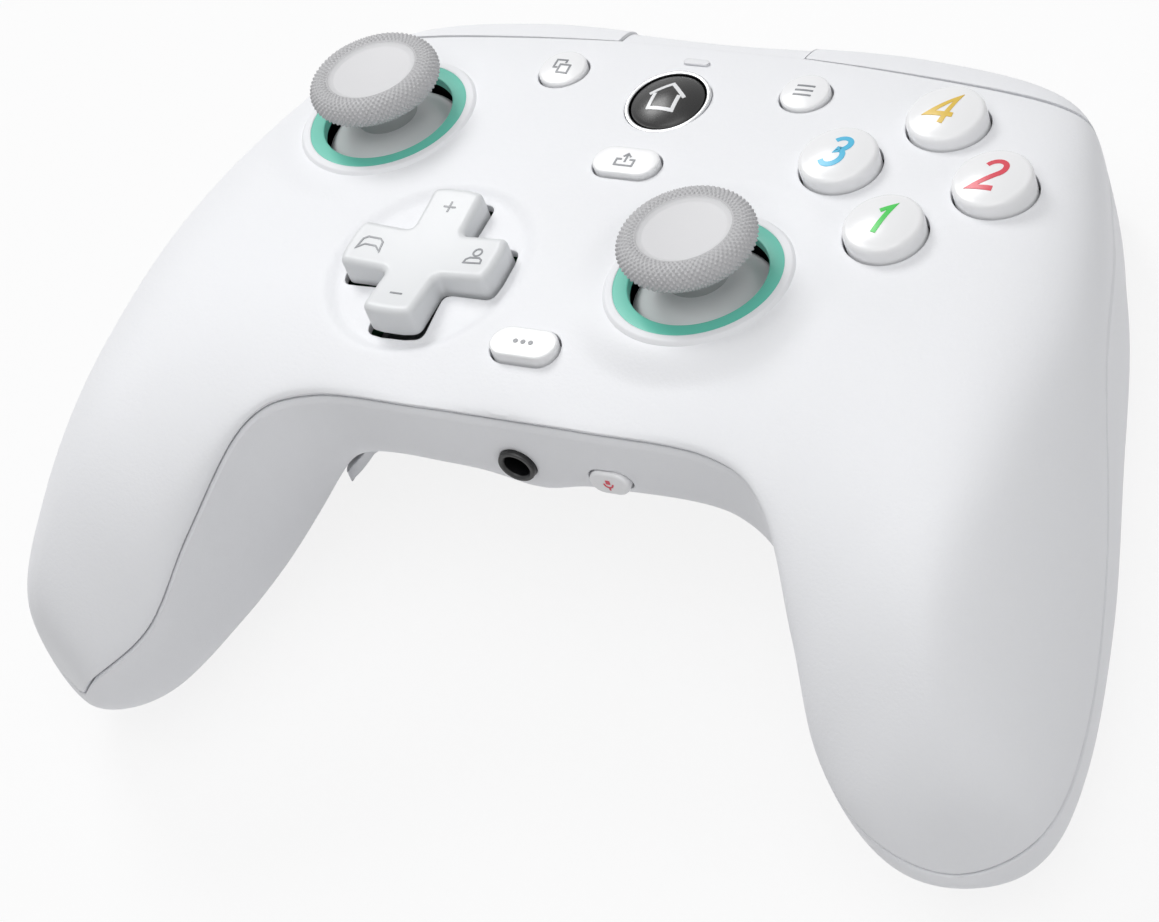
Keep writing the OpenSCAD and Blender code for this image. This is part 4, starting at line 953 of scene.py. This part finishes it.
def addMarks():
    bend = np.radians(np.linspace(160, -40, 16))
    upper, lower = np.radians(np.linspace(150, -80, 18)), np.radians(np.linspace(80, -150, 18))
    one = np.array([[-0.9, 1.3], [0.25, 2.4], [0.25, -2.4]])
    two = np.concatenate([np.c_[1.35 * np.cos(bend), 1.35 * np.sin(bend) + 1.05], [[-1.45, -2.35], [1.5, -2.35]]])
    three = np.concatenate([np.c_[1.2 * np.cos(upper), 1.2 * np.sin(upper) + 1.2],
                            np.c_[1.35 * np.cos(lower), 1.35 * np.sin(lower) - 1.1]])
    four = np.array([[0.7, -2.4], [0.7, 2.4], [-1.7, -0.9], [1.7, -0.9]])
    figures = {"button_south": (one, "ink_green"), "button_east": (two, "ink_red"),
               "button_west": (three, "ink_blue"), "button_north": (four, "ink_gold")}
    for name, (path, ink) in figures.items():
        slanted = path + np.c_[marks["slant"] * path[:, 1], np.zeros(len(path))]
        mark = strokes(name + "Figure", [slanted], marks["figureLine"], onFace(buttons[name]["at"]), tops[name])
        fit(mark, ink, name)
    squares = [closedLine(np.array([[-0.35, -1.2], [1.2, -1.2], [1.2, 0.3], [-0.35, 0.3]])),
               np.array([[-0.6, -0.3], [-1.2, -0.3], [-1.2, 1.2], [0.35, 1.2], [0.35, 0.6]])]
    bars = [np.array([[-1.3, y], [1.3, y]]) for y in (-0.85, 0, 0.85)]
    for name, lines in (("view_button", squares), ("menu_button", bars)):
        mark = strokes(name + "Sign", lines, marks["line"], onFace(buttons[name]["at"]), tops[name])
        fit(mark, "ink_grey", name)
    tray = [np.array([[-0.6, 0.1], [-1.3, 0.1], [-1.3, -1.0], [1.3, -1.0], [1.3, 0.1], [0.6, 0.1]]),
            np.array([[0, -0.4], [0, 1.1]]), np.array([[-0.55, 0.6], [0, 1.15], [0.55, 0.6]])]
    dots = [closedLine(circle(0.22, 12) + [x, 0]) for x in (-1.1, 0, 1.1)]
    for name, lines in (("share_button", tray), ("mode_button", dots)):
        mark = strokes(name + "Sign", lines, marks["line"], onFace(pills[name]), flatTop(pillSize["height"]))
        fit(mark, "ink_grey", name)
    arm = marks["arm"]
    plus = [np.array([[-0.9, arm], [0.9, arm]]), np.array([[0, arm - 0.9], [0, arm + 0.9]])]
    minus = [np.array([[-0.9, -arm], [0.9, -arm]])]
    pad = np.array([[-1.7, -1.2], [-1.45, 0.5], [-0.9, 1.0], [0.9, 1.0], [1.45, 0.5], [1.7, -1.2], [0.8, -0.35],
                    [-0.8, -0.35]]) + [-arm, 0]
    head = closedLine(circle(0.62, 20) + [arm, 0.7])
    bust = np.array([[arm - 1.3, -1.2], [arm - 1.2, -0.6], [arm - 0.7, -0.25], [arm + 0.7, -0.25], [arm + 1.2, -0.6],
                     [arm + 1.3, -1.2], [arm - 1.3, -1.2]])
    lines = plus + minus + [closedLine(pad), head, bust]
    mark = strokes("dpadSigns", lines, marks["line"], onFace(dpad["at"]), dpadTop)
    fit(mark, "ink_grey", "dpad")
    house = [np.array([[-2.6, 0.3], [0, 2.6], [2.6, 0.3]]),
             np.array([[-1.8, 0.5], [-1.8, -2.2], [1.8, -2.2], [1.8, 0.5]])]
    mark = strokes("homeSign", house, marks["homeLine"], onFace(home["at"]), tops["home_button"])
    fit(mark, "ink_white", "home_button")
    a = np.linspace(np.pi, 2 * np.pi, 14)
    mic = [np.array([[0, 0.1], [0, 0.75]]), np.c_[0.62 * np.cos(a), 0.62 * np.sin(a) + 0.1],
           np.array([[0, -0.5], [0, -1.0]])]
    spot = (front["muteX"], -fy, front["muteZ"])
    for k, (line, width) in enumerate(zip(mic, marks["micLines"])):
        mark = strokes("muteSign%d" % k, [line], width, spot, flatTop(front["muteRise"]), turn=axesAlongY)
        fit(mark, "ink_red", "mute_button")


addMarks()
print("marks placed")

# Camera, matched to the photograph by fitting rings, buttons, seam and outline together
view = {"at": (230.92, -283.85, 310.15), "turn": (-0.6856, -0.4352, -0.3162), "focal": 3676.1,
        "centre": (558.7, 455.9), "image": (1159, 922), "sensor": 36}


def turnMatrix(vector):
    # rotation by the vector's length about its direction
    v = np.asarray(vector, float)
    a = np.linalg.norm(v)
    k = v / a
    cross = np.array([[0, -k[2], k[1]], [k[2], 0, -k[0]], [-k[1], k[0], 0]])
    return np.eye(3) + math.sin(a) * cross + (1 - math.cos(a)) * cross @ cross


def addCamera():
    data = bpy.data.cameras.new("photoCamera")
    cam = bpy.data.objects.new("photoCamera", data)
    bpy.context.scene.collection.objects.link(cam)
    axes = turnMatrix(view["turn"])
    c, s = math.cos(stand["tilt"]), math.sin(stand["tilt"])
    lean = np.array([[1, 0, 0], [0, c, s], [0, -s, c]])
    m = np.eye(4)
    m[:3, :3] = lean @ axes.T
    m[:3, 3] = toRow(view["at"])
    cam.matrix_world = Matrix(m.tolist())
    width, height = view["image"]
    data.sensor_fit = "HORIZONTAL"
    data.sensor_width = view["sensor"]
    data.lens = view["sensor"] * view["focal"] / width
    data.shift_x = (width / 2 - view["centre"][0]) / width
    data.shift_y = (view["centre"][1] - height / 2) / width
    data.clip_start = 0.01
    bpy.context.scene.camera = cam


addCamera()

# Floor, world and lamps
room = {"floorHex": "#F0F0F1", "floorHalf": 3, "glowShare": 0.85, "worldStrength": 0.27, "aim": [0, -0.03, 0.03]}
lamps = {"key": {"at": (-0.5, 0.5, 0.65), "size": 0.35, "watts": 3.45},
         "top": {"at": (0.1, -0.1, 1.0), "size": 0.8, "watts": 4.5},
         "fill": {"at": (0.7, -0.35, 0.3), "size": 0.6, "watts": 0.6}}


def directRays(tree):
    # 1 for rays that show the background: straight to the camera, mirrored or through glass
    path = addNode(tree, "ShaderNodeLightPath")
    pair = addNode(tree, "ShaderNodeMath", {"operation": "MAXIMUM"},
                   {0: path.outputs["Is Camera Ray"], 1: path.outputs["Is Glossy Ray"]})
    return addNode(tree, "ShaderNodeMath", {"operation": "MAXIMUM"},
                   {0: pair.outputs[0], 1: path.outputs["Is Transmission Ray"]}).outputs[0]


def addFloor():
    # white paper that glows a little for the camera and keeps the shadow
    corners = np.array([[-1, -1, 0], [1, -1, 0], [1, 1, 0], [-1, 1, 0]]) * room["floorHalf"]
    floor = addMesh("floor", corners, [[0, 1, 2, 3]], place=lambda p: p)
    mat, tree, out, _ = newMaterial("paperSweep")
    paper = addNode(tree, "ShaderNodeBsdfDiffuse", {"Color": linear(room["floorHex"])})
    glow = addNode(tree, "ShaderNodeEmission", {"Color": (1, 1, 1, 1), "Strength": 1.0})
    share = addNode(tree, "ShaderNodeMath", {"operation": "MULTIPLY", 1: room["glowShare"]},
                    {0: directRays(tree)})
    mix = addNode(tree, "ShaderNodeMixShader", {}, {0: share.outputs[0], 1: paper.outputs[0], 2: glow.outputs[0]})
    tree.links.new(mix.outputs[0], out.inputs[0])
    floor.data.materials.append(mat)


def addLight():
    # soft world that shows as white, and three soft lamps turned to the part
    world = bpy.data.worlds.new("studio")
    bpy.context.scene.world = world
    world.use_nodes = True
    tree = world.node_tree
    tree.nodes.clear()
    soft = addNode(tree, "ShaderNodeBackground", {"Color": (1, 1, 1, 1), "Strength": room["worldStrength"]})
    white = addNode(tree, "ShaderNodeBackground", {"Color": (1, 1, 1, 1), "Strength": 1.0})
    mix = addNode(tree, "ShaderNodeMixShader", {},
                  {0: directRays(tree), 1: soft.outputs[0], 2: white.outputs[0]})
    addNode(tree, "ShaderNodeOutputWorld", {}, {0: mix.outputs[0]})
    for name, spec in lamps.items():
        data = bpy.data.lights.new(name, "AREA")
        data.size = spec["size"]
        data.energy = spec["watts"]
        lamp = bpy.data.objects.new(name, data)
        bpy.context.scene.collection.objects.link(lamp)
        back = np.subtract(spec["at"], room["aim"])
        back = back / np.linalg.norm(back)
        right = np.cross([0, 0, 1], back)
        right = right / np.linalg.norm(right)
        m = np.eye(4)
        m[:3, :3] = np.stack([right, np.cross(back, right), back], 1)
        m[:3, 3] = spec["at"]
        lamp.matrix_world = Matrix(m.tolist())


addFloor()
addLight()
bpy.context.scene.view_settings.view_transform = "Standard"
print("camera, floor and lamps set")
